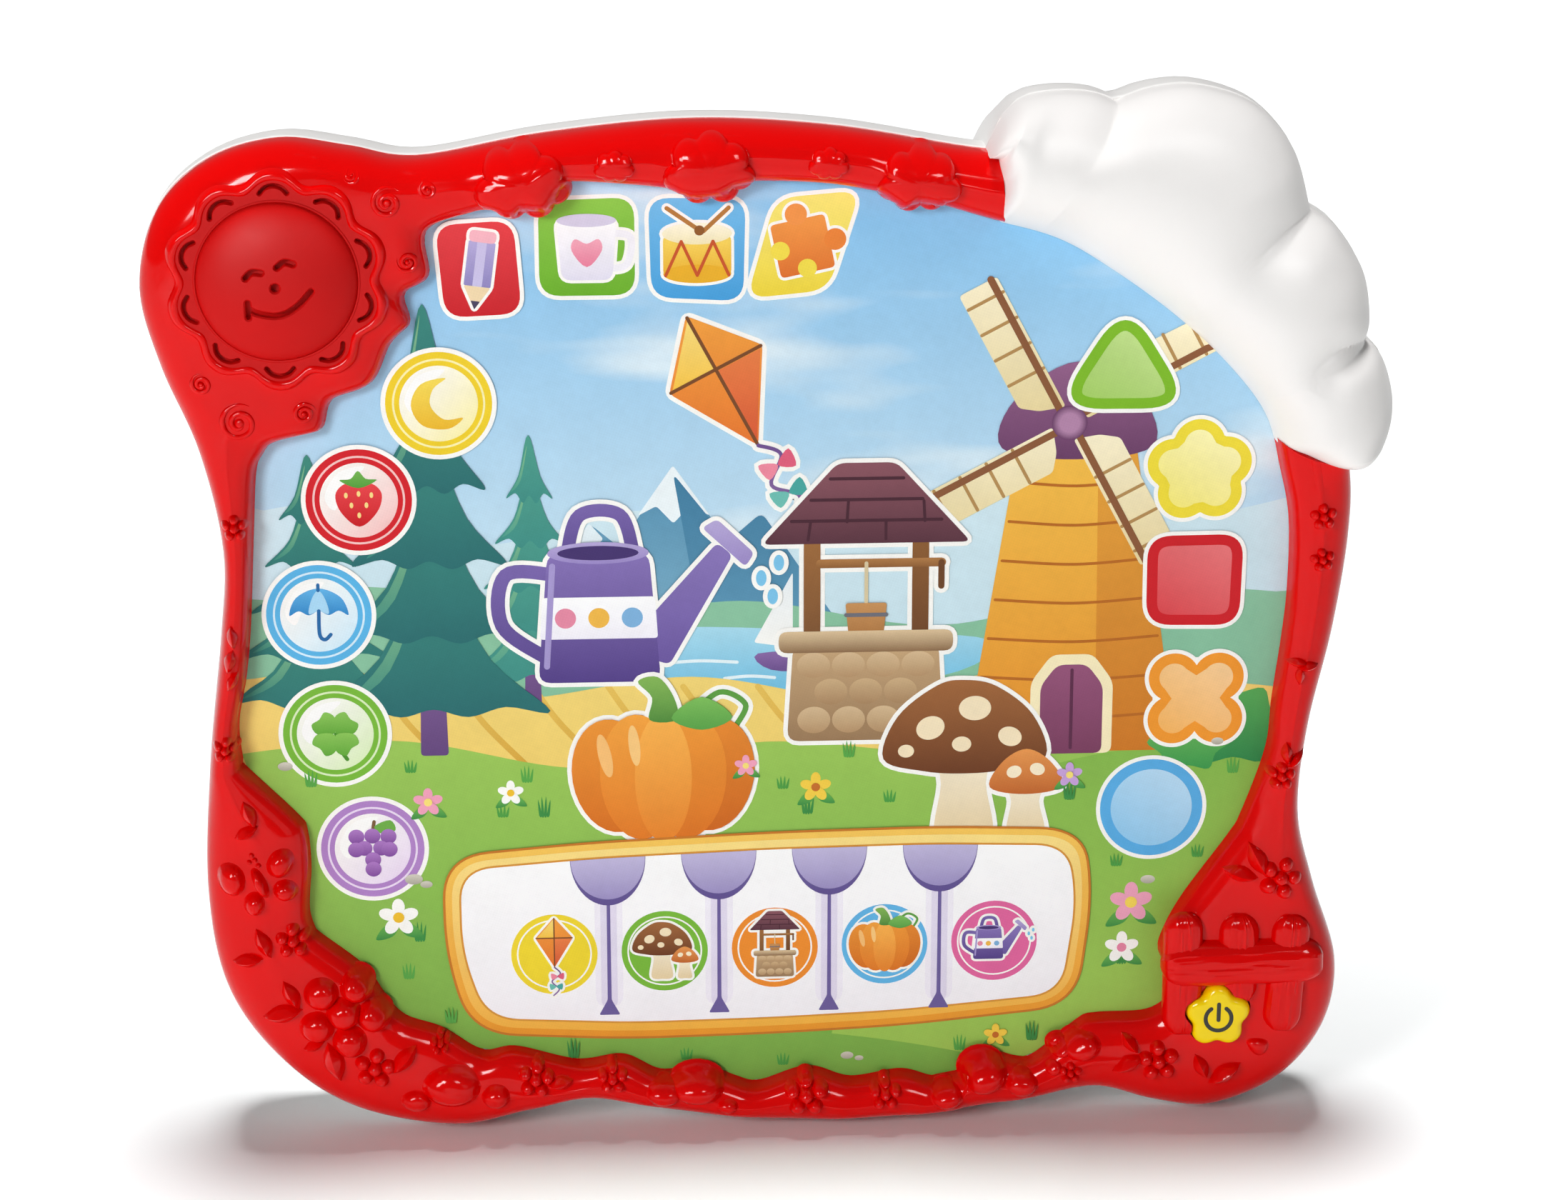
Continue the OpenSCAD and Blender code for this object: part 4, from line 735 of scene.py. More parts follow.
def board(x, y, half_long, half_wide, turn, rise, seed=0.0, hole=None):
    """A rounded board: half sizes in millimetres, turn is the way its length points."""
    bm = bmesh.new()
    bmesh.ops.create_grid(bm, x_segments=GRID_LONG, y_segments=GRID_WIDE, size=1)
    rim = bmesh.ops.extrude_edge_only(bm, edges=[e for e in bm.edges if e.is_boundary])["geom"]
    sunk = {v for v in rim if isinstance(v, bmesh.types.BMVert)}
    bmesh.ops.edgeloop_fill(bm, edges=[e for e in bm.edges if e.is_boundary])
    way = Vector((cos(radians(turn)), sin(radians(turn))))
    for v in bm.verts:
        u, s = v.co.x, v.co.y
        end = sqrt(max(0, 1 - max(0, (abs(u) * half_long - half_long + half_wide) / half_wide) ** 2 * 0.97))
        p = Vector((x, y)) + way * u * half_long + Vector((-way.y, way.x)) * s * half_wide * end
        edge_gap = min((1 - abs(s)) * half_wide * end, (1 - abs(u)) * half_long)
        over = sqrt(max(0, 1 - (1 - min(1, edge_gap / (0.8 * half_wide))) ** 2))
        lines = noise.noise(Vector((u * half_long * 0.07, s * half_wide * 1.25, seed)))
        fine = noise.noise(Vector((u * half_long * 0.12, s * half_wide * 3.1, seed + 7)))
        carved = GRAIN * over * (abs(lines) * 1.6 - 0.5 + 0.4 * fine)
        height = -SUNK if v in sunk else rise * over + carved
        v.co = spot(p.x, p.y, CREST + height)
    if hole:
        punch = bmesh.new()
        prism(punch, hole, 3, 30)
        bm = carve(bm, punch)
    outwards(bm)
    join(figures, bm)


POSTS = [
    (100.2, 41.8, 16.2, 4.9, 90.5, True), (113.9, 45.6, 12.0, 5.0, 90, True),
    (126, 41.6, 15.6, 4.9, 86.4, False),
]
for k, (*row, by_button) in enumerate(POSTS):
    board(*row, POST_RISE, seed=3.0 * k, hole=button_hole if by_button else None)
board(114.9, 44.8, 20.2, 5.9, 181.2, RAIL_RISE, seed=20.0)
piece("frame_figures", figures, red_gloss)

# %% [markdown]
# The cloud is a separate white moulding with a satin touch. Its section runs from the outer
# edge over a high round back to the window, like the frame's but fuller. Creases start sharp
# and deep at the notches of its outline and fade inwards, which makes four puffs of one skin.
# A crease stays crisp only where the rows are close, so there are many.

# %% Cloud section
CLOUD_TOP, CLOUD_ROWS, CLOUD_STEPS = 20.0, 360, 40
CLOUD_LIP, END_LIP, FULL_CLOUD, END_BLEND = 6.4, 10.0, 15, 2.5
lobe_reach = reach_of([q for lobe in LOBES for q in open_curve(lobe, 12)], (0,))
low_end_reach = reach_of(open_curve(LOW_END, 12), (0,))
top_end_reach = reach_of(open_curve(TOP_END, 12), (0,))
cloud_from, cloud_to = bearing(LOW_END[0]), bearing(TOP_END[0])
low_to, top_from = bearing(LOW_END[-1]), bearing(TOP_END[-1])
CREASES = [
    ([(126.5, 232.6), (118.8, 229), (113.1, 224.5), (109.7, 218.5), (108.3, 211)], 6.5, 11),
    ([(140.5, 201), (132, 200.6), (126.6, 197), (123, 192.6), (121.8, 187)], 6.0, 9),
    ([(79, 259), (77, 254), (74.6, 247.8), (73.3, 239)], 2.4, 7),
]
crease_lines = [(open_curve(points, 10), deep, wide) for points, deep, wide in CREASES]


def crease_depth(p):
    """Two round puffs meet along each crease; it is deepest at the notch and fades inwards."""
    depth = 0.0
    for line, deep, wide in crease_lines:
        gap, i = min(((p - q).length, i) for i, q in enumerate(line))
        t = i / (len(line) - 1)
        near = max(0, 1 - gap / (wide * (1 + 0.5 * t)))
        sharp, soft = 1 - sqrt(1 - near * near), 0.7 * near * near * (3 - 2 * near)
        depth += deep * (1 - t) ** 1.3 * (sharp + (soft - sharp) * min(1, 0.05 + 1.3 * t))
    return depth


print("points along the creases:", [len(line) for line, _, _ in crease_lines])

# %% [markdown]
# A row of the cloud is its section at one angle, seen from the panel's middle. Past the ends of
# the window the section closes towards the frame, so that no gap is left between the two mouldings.

# %% Cloud rows


def cloud_row(a):
    """The cloud's section at an angle. Past either end of the window it closes towards the frame."""
    beyond = max(low_to - a, a - top_from, 0)
    away = min(1, beyond / END_BLEND)
    ends = low_end_reach(a) if a < low_to else top_end_reach(a)
    if a >= low_to and a > edge_from:
        ends = min(ends, edge(a))
    inner = window(a) + (ends - 0.3 - window(a)) * away * away * (3 - 2 * away)
    outer = max(lobe_reach(a), inner + 0.4)
    w = outer - inner
    top = SIDE + (CLOUD_TOP - SIDE) * min(1, (w / FULL_CLOUD) ** 0.4)
    run = 0.52 * w
    past, foot = LEAN * (1 - away), FOOT * (1 - away)
    low = min(CLOUD_LIP + (END_LIP - CLOUD_LIP) * away, top - 1)
    line = [(0, z) for z in SIDE_HEIGHTS]
    line += [(run * (1 - cos(t)), SIDE + (top - SIDE) * sin(t)) for t in quarter(CLOUD_STEPS)]
    slope = [k / CLOUD_STEPS for k in range(1, CLOUD_STEPS + 1)]
    line += [(run + (w + past - run) * f, low + (top - low) * (1 - f**2.3) ** 0.8) for f in slope]
    line += [(w + past, low + (foot - low) * f) for f in (0.5, 1)]
    line += [(w + past - min(WALL, 0.4 * w), foot), (min(WALL, 0.4 * w), 0)]
    row = []
    for u, z in line:
        p = on_ray(a, outer - u)
        share = min(1, max(0, (z - SIDE) / (top - SIDE)))
        row.append(spot(p.x, p.y, z - crease_depth(p) * share))
    return row


cloud_mesh = bmesh.new()
cloud_angles = [cloud_from + (cloud_to - cloud_from) * k / CLOUD_ROWS for k in range(CLOUD_ROWS + 1)]
cap(cloud_mesh, *loft(cloud_mesh, [cloud_row(a) for a in cloud_angles]))
outwards(cloud_mesh)
piece("cloud_skin", cloud_mesh, cloud_white, stands_for=["cloud_cover"], sharp=50)

# %% [markdown]
# The rear half is a white tray with a broad round edge. Its ring of points starts on the
# inside floor, climbs to the mouth, turns over the rim and runs down the outside to the flat
# back, so one loft gives both walls. Its lowest part sags to the floor, because the toy stands
# on it. Screw wells and the battery opening are cut afterwards.

# %% Rear shell
SHELL_STEP, STRAIGHT, ROUND, INSET, RIM = 0.3, 5.0, 16.0, 10.0, 0.35
BACK = STRAIGHT + ROUND
FOOT_SAG, FOOT_RANGE = 3.0, 16.0
EVEN_RAYS = [360 * i / 420 for i in range(420)]
SCREWS = [(-96, 240), (-127, 192), (-118, 38), (0, 7.5), (122, 20), (130, 148), (92, 238), (129, 202)]
SHELL_RAYS = sorted(EVEN_RAYS + [a + d for a in (cloud_from, cloud_to) for d in (-0.03, 0.03)])


def shell_reach(a):
    under_cloud = cloud_from <= a <= cloud_to
    return SHELL_STEP + (max(edge(a), lobe_reach(a)) if under_cloud else edge(a))


def shell_ring(inset, drop, floor):
    """The shell's outline moved inwards and back, and nowhere lower than the floor."""
    ring = []
    for a in SHELL_RAYS:
        p = on_ray(a, shell_reach(a) - inset)
        sunk = FOOT_SAG * max(0, 1 - max(p.y, 0) / FOOT_RANGE)
        ring.append(spot(p.x, max(p.y - sunk, floor), -drop))
    return ring


def shell_depth(p):
    """How far behind the joint line the shell's outside lies at a point of the drawing."""
    raised = (p.y + FOOT_SAG) / (1 + FOOT_SAG / FOOT_RANGE)
    flat = Vector((p.x, raised if p.y < FOOT_RANGE else p.y))
    inset = shell_reach(bearing(flat)) - (flat - MID).length
    return STRAIGHT + ROUND * sin(acos(1 - min(max(inset / INSET, 0), 1)))


def inside_ring(t):
    return shell_ring(WALL + INSET * (1 - cos(t)), STRAIGHT + (ROUND - WALL) * sin(t), WALL)


inside = [inside_ring(t) for t in reversed(quarter(8))]
outside = [shell_ring(0, drop, 0) for drop in (RIM, 1.5, 3.2)]
outside += [shell_ring(INSET * (1 - cos(t)), STRAIGHT + ROUND * sin(t), 0) for t in quarter(12)]
shell_mesh = bmesh.new()
cap(shell_mesh, *loft(shell_mesh, [*inside, shell_ring(WALL, 0, WALL), shell_ring(RIM, 0, 0), *outside]))
print("shell before its openings:", len(shell_mesh.faces), "faces")

# %% [markdown]
# A screw well is a tube with a step for the screw's head, spun once and copied. Where a well
# stands in the round edge, its rim follows that edge, as it would if the mould were cut there.

# %% Screw wells and battery opening
HEAD_R, SCREW_R, WELL_STEP, WELL_FLOOR, WELL_TOP, DOOR_GAP = 3.1, 1.4, 3.4, -7, -5, 0.3 * MM
openings = bmesh.new()
for x, y in SCREWS:
    prism(openings, disc((x, y), HEAD_R, 40), -BACK - 1, -BACK + WALL + WELL_STEP)
door_low, door_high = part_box("battery_door")
for v in bmesh.ops.create_cube(openings, size=1)["verts"]:
    v.co = Vector((
        door_high[0] + DOOR_GAP if v.co.x > 0 else door_low[0] - DOOR_GAP,
        door_high[1] + 2 * MM if v.co.y > 0 else door_high[1] - (WALL + 0.5) * MM,
        door_high[2] + DOOR_GAP if v.co.z > 0 else door_low[2] - DOOR_GAP,
    ))
shell_mesh = carve(shell_mesh, openings)
well_foot = -BACK + WALL - 0.1
SCREW_WELL = [
    (HEAD_R, -BACK + 0.02), (HEAD_R, WELL_FLOOR), (SCREW_R, WELL_FLOOR), (SCREW_R, WELL_TOP), (4.4, WELL_TOP),
    (5.2, well_foot), (3.3, well_foot),
]
well = spun([*SCREW_WELL, SCREW_WELL[0]], 40)
for x, y in SCREWS:
    here_well = well.copy()
    for v in here_well.verts:
        p = Vector((x + v.co.x, y + v.co.y))
        v.co = spot(p.x, p.y, max(v.co.z, 0.05 - shell_depth(p)))
    join(shell_mesh, here_well)
well.free()
outwards(shell_mesh)
piece("shell_skin", shell_mesh, white_shell, stands_for=["rear_shell"])

# %% [markdown]
# The sun covers the speaker. It is a separate, duller moulding: a full dome in a plate with ten
# waves. Its rings of points run from the plate's outline, over a fine groove, to the dome's top.

# %% Sun
SUN_R, SUN_RISE, PLATE, PETALS = 18.4, 5.6, 14.0, 10
SUN_UNDER, SUN_RAYS, SLOT_DEEP = 10.4, 300, 2.4


def sun_height(p):
    """Height of the sun's face at a point: a full dome in a flat plate."""
    r = (Vector(p) - Vector(SUN)).length
    return PLATE if r > SUN_R else PLATE + 0.3 + SUN_RISE * (1 - (r / SUN_R) ** 2.4) ** 0.75


def ring_at(at, outline, z):
    return [spot(p.x, p.y, z) for p in around(at, outline)]


def sun_wave(r, z):
    return ring_at(SUN, waved(r), z)


def sun_circle(r, z):
    return ring_at(SUN, [(tau * i / SUN_RAYS, r) for i in range(SUN_RAYS)], z)


DOME_RINGS = (18.35, 18.1, 17.7, 17.1, 16.3, 15.3, 14, 12.5, 11, 9.5, 8, 6.5, 5, 3.5, 2, 0.8)
sun_rows = [sun_wave(SUN_PLATE_R, SUN_UNDER), sun_wave(SUN_PLATE_R, PLATE)]
for r, lift in ((19.2, 0), (18.95, 0.22), (18.7, 0.2), (18.5, -0.05)):
    sun_rows.append(sun_circle(r, PLATE + lift))
for r in DOME_RINGS:
    sun_rows.append(sun_circle(r, sun_height((SUN[0] + r, SUN[1]))))
sun_mesh = bmesh.new()
cap(sun_mesh, *loft(sun_mesh, sun_rows))
print("sun before its slots:", len(sun_mesh.faces), "faces")

# %% [markdown]
# Sound slots sit in the waves and in the smiling face. Each is a deep groove: a stroke of even
# width is lofted into a cutter that flares at the skin, so that the Boolean leaves a bevelled
# edge. A glossy bead on the frame follows the plate's waves.

# %% Sound slots
SLOT_RING, SLOT_R, SLOT_WIDE, STROKE = 18.8, 3.6, 0.85, 1.25


def ribbon(points, width, ends=6):
    """Outline of a stroke of even width with round ends."""
    line = open_curve(points, 8)
    ways = [(line[min(i + 1, len(line) - 1)] - line[max(i - 1, 0)]).normalized() for i in range(len(line))]
    left = [p + Vector((-w.y, w.x)) * width / 2 for p, w in zip(line, ways)]
    right = [p - Vector((-w.y, w.x)) * width / 2 for p, w in zip(line, ways)]

    def round_end(p, way):
        start = atan2(way.y, way.x) + pi / 2
        turns = [start - pi * k / ends for k in range(1, ends)]
        return [p + Vector((cos(t), sin(t))) * width / 2 for t in turns]

    return left + round_end(line[-1], ways[-1]) + right[::-1] + round_end(line[0], -ways[0])


def slot_cutter(bm, outline):
    """A cutter that widens just under the skin, so that each slot has a bevelled edge."""
    rows = []
    for wider, sink in ((0, SLOT_DEEP), (0, 0.45), (0.8, -0.06), (0.8, -6)):
        rows.append([spot(p.x, p.y, sun_height(p) - sink) for p in outline(wider)])
    cap(bm, *loft(bm, rows))


slots = bmesh.new()
for k in range(PETALS):
    way = pi / 2 + tau * k / PETALS
    centre = Vector(SUN) + Vector((cos(way), sin(way))) * SLOT_RING
    arc = [centre + SLOT_R * Vector((cos(way + t), sin(way + t))) for t in (-1.05, -0.55, 0, 0.55, 1.05)]
    slot_cutter(slots, lambda wider: ribbon(arc, SLOT_WIDE + 0.7 * wider))
FACE = [
    [(-121.3, 221.8), (-119.8, 223.2), (-117.7, 223.1)], [(-114, 224.3), (-112.3, 225.5), (-110.3, 225)],
    [(-121, 214.8), (-118.9, 213.6), (-114, 213), (-109.9, 215), (-106.5, 218.5)],
    [(-121, 216), (-121, 212.5)],
]
for line in FACE:
    slot_cutter(slots, lambda wider: ribbon(line, STROKE + wider))
slot_cutter(slots, lambda wider: disc((-114.6, 219.5), 1.05 + wider / 2, 24))
sun_mesh = carve(sun_mesh, slots, crossing=True)
piece("sun_grille", sun_mesh, red_satin, stands_for=["speaker_grille"])
BEAD = [
    (24.9, 12.6), (24.6, 13.3), (24.3, 13.9), (23.9, 14.4), (23.4, 14.6), (22.9, 14.5), (22.5, 14.2),
    (22.3, 13.8), (22.2, 12.6),
]
bead = bmesh.new()
loft(bead, [sun_wave(r, z) for r, z in BEAD])
bmesh.ops.bridge_loops(bead, edges=[e for e in bead.edges if e.is_boundary])
outwards(bead)
piece("sun_bead", bead, red_gloss, sharp=60)

# %% [markdown]
# The power button is a small yellow flower that is pressed in. Its outline climbs out of the
# frame's hole, turns over a round edge and ends in a flat top with a printed sign: an open ring
# and a bar, as on most switches.

# %% Power button
BUTTON_TOP, BUTTON_EDGE = 16.4, 2.0
button_rows = [(1.0, 0.0, 7.0), (1.0, 0.0, 11.0)]
button_rows += [
    (1.0, BUTTON_EDGE * (1 - cos(t)), BUTTON_TOP - BUTTON_EDGE * (1 - sin(t))) for t in quarter(8)
]
button_rows += [(0.65, 1.2, BUTTON_TOP + 0.06), (0.3, 0.6, BUTTON_TOP + 0.08)]
button_line = waved(BUTTON_R, **BUTTON_WAVES)
button_mesh = bmesh.new()
rows = [ring_at(BUTTON, [(a, s * r - inset) for a, r in button_line], z) for s, inset, z in button_rows]
cap(button_mesh, *loft(button_mesh, rows))
outwards(button_mesh)
piece("button_cap", button_mesh, button_yellow, "power_button", ["power_button"], sharp=50)
black_ink = moulded("black_ink", "#26261c", 0.38, 0.1, 0.06, 0.2)
sign = bmesh.new()
SIGN_R, SIGN_OPEN, SIGN_LINE = 3.2, 0.62, 1.0
turns = [SIGN_OPEN + (tau - 2 * SIGN_OPEN) * k / 16 for k in range(17)]
open_ring = [Vector(BUTTON) + SIGN_R * Vector((sin(t), cos(t))) for t in turns]
for line in (open_ring, [(BUTTON[0], BUTTON[1] - 0.4), (BUTTON[0], BUTTON[1] + 3.8)]):
    prism(sign, ribbon(line, SIGN_LINE), BUTTON_TOP - 0.2, BUTTON_TOP + 0.12)
outwards(sign)
piece("button_sign", sign, black_ink, "power_button")

# %% [markdown]
# Ink on a sheet is never quite flat: the brush shows a little, a fine screen of dots, as in
# offset printing, lies over all the colours, and a satin varnish covers it. The sky is painted
# by the finish itself: a gradient by height with thin streaks, which are noise drawn out sideways.

# %% Printing
DOT, SCREEN_TURN = 0.9 * MM, 0.45
BROAD, FINE, DOTTED, BARE, VARNISH, VARNISH_DRIFT = 0.16, 0.08, 0.022, 0.88, 0.36, 0.1
SKY_FROM, SKY_RISE, STREAK_FROM, STREAK_RISE, STREAK_WEIGHT = 0.135, 10.5, 0.53, 7, 0.75


def screen(here):
    """The dots of a printing screen, from two crossed waves."""
    turn = {"Vector": here, "Angle": SCREEN_TURN}
    turned = here.node("ShaderNodeVectorRotate", {"rotation_type": "Y_AXIS"}, turn)
    axes = turned.node("ShaderNodeSeparateXYZ", None, {0: turned})
    across, up = axes, Wire(axes.tree, axes.socket.node.outputs[2])
    return (across * (tau / DOT)).sine() * (up * (tau / DOT)).sine()


def printed(shader, here, colour):
    """Lays an ink colour on a sheet: brushed a little, dotted a little, with a satin varnish."""
    brush = here.noise(9, 5, 0.65) * BROAD + here.noise(1.6, 3) * FINE + BARE + screen(here) * DOTTED
    inked = {"data_type": "RGBA", "blend_type": "MULTIPLY"}
    feed(shader, "Base Color", here.node("ShaderNodeMix", inked, {0: 1.0, 6: colour, 7: brush}, output=2))
    feed(shader, "Roughness", here.noise(20, 3) * VARNISH_DRIFT + VARNISH)
    feed(shader, "Normal", here.noise(0.5, 2).bump(0.02, 0.05))


sky_ink, shader, here = start_finish("sky_ink", Specular_IOR_Level=0.12)
up = Wire(here.tree, here.node("ShaderNodeSeparateXYZ", None, {0: here}).socket.node.outputs[2])
height = ((up - SKY_FROM) * SKY_RISE).clip()
sideways = {"Vector": here, "Rotation": (0, 0.3, 0), "Scale": (0.22, 1, 1)}
drawn_out = here.node("ShaderNodeMapping", {"vector_type": "POINT"}, sideways)
streaks = ((drawn_out.noise(22, 3, 0.45) - STREAK_FROM) * STREAK_RISE).clip() * STREAK_WEIGHT
printed(shader, here, streaks.mix(height.mix(srgb("#cbe5f2"), srgb("#88c3ec")), srgb("#eaf6fa")))
print("sky ink uses", len(sky_ink.node_tree.nodes), "nodes")

# %% [markdown]
# The touch panel is one flat sheet that runs a little way under the frame. It could be the
# window's outline moved outwards, but the scallops would cross each other, so each ray takes the
# widest reach close by. Rings of points from the middle of its back to the middle of its front
# make it.

# %% Printed sheet
SHEET_UNDER, SHEET_OVER, SHEET_RAYS = 4.7, 1.4, 720


def sheet_reach(a):
    """The widest the window gets close to a ray, so that the sheet also fills its scallops."""
    return SHEET_OVER + max(window(a + k / 2) for k in range(-4, 5))


sheet_angles = [360 * i / SHEET_RAYS for i in range(SHEET_RAYS)]
SHEET_ROWS = [(0.02, SHEET_UNDER), (1, SHEET_UNDER), (1, SHEET), (0.7, SHEET), (0.4, SHEET), (0.02, SHEET)]
sheet_mesh = bmesh.new()
sheet_rings = []
for share, z in SHEET_ROWS:
    sheet_rings.append([spot(*on_ray(a, share * sheet_reach(a)), z) for a in sheet_angles])
cap(sheet_mesh, *loft(sheet_mesh, sheet_rings))
outwards(sheet_mesh)
piece("touch_sheet", sheet_mesh, sky_ink, stands_for=["touch_overlay"])

# %% [markdown]
# The picture is printed in flat inks. Each patch of ink is a thin closed leaf on the sheet, and
# its colours are kept in its corners, so one finish prints them all. A patch that crosses one
# laid before lies one layer higher. The whole pile is thinner than the gap under the frame.

# %% Inks
LAYER, LEAF, INSIDE = 0.013, 0.05, 0.2
laid = []


def blank_leaf():
    """A new mesh for a part of the picture, and the layer that keeps its colours."""
    bm = bmesh.new()
    return bm, bm.loops.layers.float_color.new("tint")


def print_leaf(name):
    bmesh.ops.recalc_face_normals(inks, faces=inks.faces)
    piece(name, inks, print_ink)


print_ink, shader, here = start_finish("print_ink", Specular_IOR_Level=0.12)
printed(shader, here, here.node("ShaderNodeAttribute", {"attribute_name": "tint"}))


def kept_in(p):
    """Pulls a point of the picture back under the window's edge."""
    off = p - MID
    return MID + off.normalized() * min(off.length, window(bearing(p)) - INSIDE)


def ink(points, colour, other=None, way=90, core=None, share=0.55):
    """Lays a patch: a second colour grades it along a way, a core colour lightens its middle."""
    points = [kept_in(Vector(p)) for p in points]
    points = [p for i, p in enumerate(points) if (p - points[i - 1]).length > 0.01]
    x, y = [p.x for p in points], [p.y for p in points]
    box = (min(x), max(x), min(y), max(y))
    under = [n for (l, r, b, t), n in laid if l < box[1] and r > box[0] and b < box[3] and t > box[2]]
    level = 1 + max(under, default=0)
    laid.append((box, level))
    high = SHEET + level * LAYER
    rows = [[spot(p.x, p.y, z) for p in points] for z in (high - LEAF, high)]
    if core:
        middle = Vector((box[0] + box[1], box[2] + box[3])) / 2
        rows.append([spot(*middle.lerp(p, share), high) for p in points])
    first, last = loft(inks, rows)
    cap(inks, first, last)
    along = Vector((cos(radians(way)), 0, sin(radians(way))))
    places = [v.co @ along for v in first]
    low, span = min(places), max(max(places) - min(places), 1e-9)
    start, end = Vector(srgb(colour)), Vector(srgb(other or colour))
    middle_verts = set(last) if core else set()
    for face in {f for v in first + last for f in v.link_faces}:
        for corner in face.loops:
            share_of_end = (corner.vert.co @ along - low) / span
            corner[tint] = srgb(core) if corner.vert in middle_verts else start.lerp(end, share_of_end)


print("ink layers of", LAYER, "mm")

# %% [markdown]
# A few outlines draw everything: an oval, a figure with rounded corners, a smooth curve through
# points, a stroke and any of these moved outwards. A picture is a list of such outlines with
# their colours. It can be printed in any size and place, with a white border round it.

# %% Outlines to draw with


def oval(x, y, rx, ry=None, turn=0.0, steps=32):
    ry = ry or rx
    way = Matrix.Rotation(radians(turn), 2)
    angles = [tau * i / steps for i in range(steps)]
    return [Vector((x, y)) + way @ Vector((rx * cos(a), ry * sin(a))) for a in angles]


def rounded(points, r=1.5, steps=4):
    """A straight-sided outline with rounded corners."""
    p, line = [Vector(q) for q in points], []
    for i, q in enumerate(p):
        a, b = p[i - 1] - q, p[(i + 1) % len(p)] - q
        a, b = (v.normalized() * min(r, 0.48 * v.length) for v in (a, b))
        line += [q + a * (1 - t) ** 2 + b * t * t for t in (k / steps for k in range(steps + 1))]
    return line


def smooth(points, steps=6):
    return closed_curve(points, steps)


def grown(points, d):
    """An outline moved outwards by d."""
    n = len(points)
    turn = 1 if sum(points[i - 1].cross(points[i]) for i in range(n)) > 0 else -1
    ways = [(points[(i + 1) % n] - points[i - 1]).normalized() for i in range(n)]
    moved = [p + turn * d * Vector((w.y, -w.x)) for p, w in zip(points, ways)]
    return [q for q in moved if min((q - p).length for p in points) > 0.97 * abs(d)]


WHITE = "#fbfaf5"


def sticker(parts, x, y, size=1.0, turn=0.0, border=1.1):
    """Prints a picture of parts (outline, colour, second colour, edge); an edge gives a white border."""
    way = Matrix.Rotation(radians(turn), 2) * size
    placed = [([Vector((x, y)) + way @ Vector(p) for p in outline], *rest) for outline, *rest in parts]
    for outline, *rest in placed:
        if border and len(rest) > 2 and rest[2]:
            ink(grown(outline, border), WHITE)
    for outline, *rest in placed:
        ink(outline, rest[0], rest[1] if len(rest) > 1 else None)


print("a square with rounded corners has", len(rounded([(0, 0), (9, 0), (9, 9), (0, 9)])), "points")

# %% [markdown]
# The scenery is a lake between blue mountains and a meadow. Land is everything below a drawn
# skyline; far land is pale and near land is strong, which is what gives the flat print depth.

# %% Land and water
FROM_EDGE = 0.3


def land(skyline, colour, other):
    """Everything in the window below a skyline."""
    top = [p for p in open_curve(skyline, 12) if (p - MID).length < window(bearing(p)) - FROM_EDGE]
    start, end = bearing(top[-1]), bearing(top[0])
    start, end = start if start < 180 else start - 360, end - 360
    steps = round((start - end) / 1.5)
    below = [start + (end - start) * k / steps for k in range(steps + 1)]
    ink(top + [on_ray(a, window(a % 360) - FROM_EDGE) for a in below], colour, other)


inks, tint = blank_leaf()
FAR_HILLS = [(-140, 158), (-104, 164), (-70, 153), (-30, 161), (6, 152), (44, 164), (90, 156), (140, 166)]
land(FAR_HILLS, "#b9dbe8", "#cfe7f0")
PEAKS = [(-64, 128), (-44, 158), (-37, 152), (-24, 172), (-11, 153), (-3, 160), (18, 128)]
ink(rounded(PEAKS, 2), "#7fb2cc", "#4f8cae")
SNOW = [(-32.5, 159.6), (-24, 172), (-15.3, 159.4), (-20, 162), (-24, 157.6), (-28, 162)]
ink(rounded(SNOW, 0.8), "#eef7fa")
ink(rounded([(-49.5, 150), (-44, 158), (-40.6, 154), (-44.4, 150.6)], 0.8), "#e4f1f6")
ink(rounded([(-24, 170), (-11, 153), (-3, 160), (18, 128), (-16, 128), (-20, 146)], 2), "#5f98b8", "#3f7c9f")
land([(-140, 136), (-96, 143), (-52, 133), (-8, 138), (40, 131), (86, 140), (140, 136)], "#6fb08f", "#8cc4a2")
LAKE = [(-66, 126), (-30, 131.5), (14, 130), (52, 127), (40, 118), (-6, 115), (-50, 118)]
ink(smooth(LAKE), "#6fbfe2", "#a9dcef")
RIPPLES = [(-40, 127, 7), (-18, 122.5, 9), (6, 127.5, 6), (22, 121.5, 8), (34, 126, 5), (-6, 118.4, 6)]
for x, y, long in RIPPLES:
    ink(ribbon([(x - long, y), (x, y + 0.5), (x + long, y)], 0.8), "#e6f5fa")
CORN = [(-140, 118), (-104, 122), (-66, 114), (-20, 119), (24, 112), (60, 119), (140, 112)]
land(CORN, "#e9bd4d", "#f3d678")
for k in range(9):
    x = -112 + 18 * k
    ink(ribbon([(x, 118 - 0.3 * k), (x + 6, 108), (x + 16, 97)], 1.5), "#d9a63f", "#e8c25c")
land([(-140, 100), (-92, 104), (-46, 96), (-2, 102), (48, 98), (92, 106), (140, 102)], "#74b045", "#9cc75a")
land([(2, -20), (26, 60), (52, 88), (92, 99), (140, 97)], "#a2ca58", "#86b94e")
land([(-140, 74), (-96, 66), (-60, 44), (-20, 30), (30, 22), (80, 12), (140, 6)], "#7bb04a", "#8fbd54")
print_leaf("print_land")

# %% [markdown]
# Firs stand on the left. A fir is a stack of jagged skirts, each a smooth curve through a few
# points, drawn from the ground up so that upper ones overlap.

# %% Firs


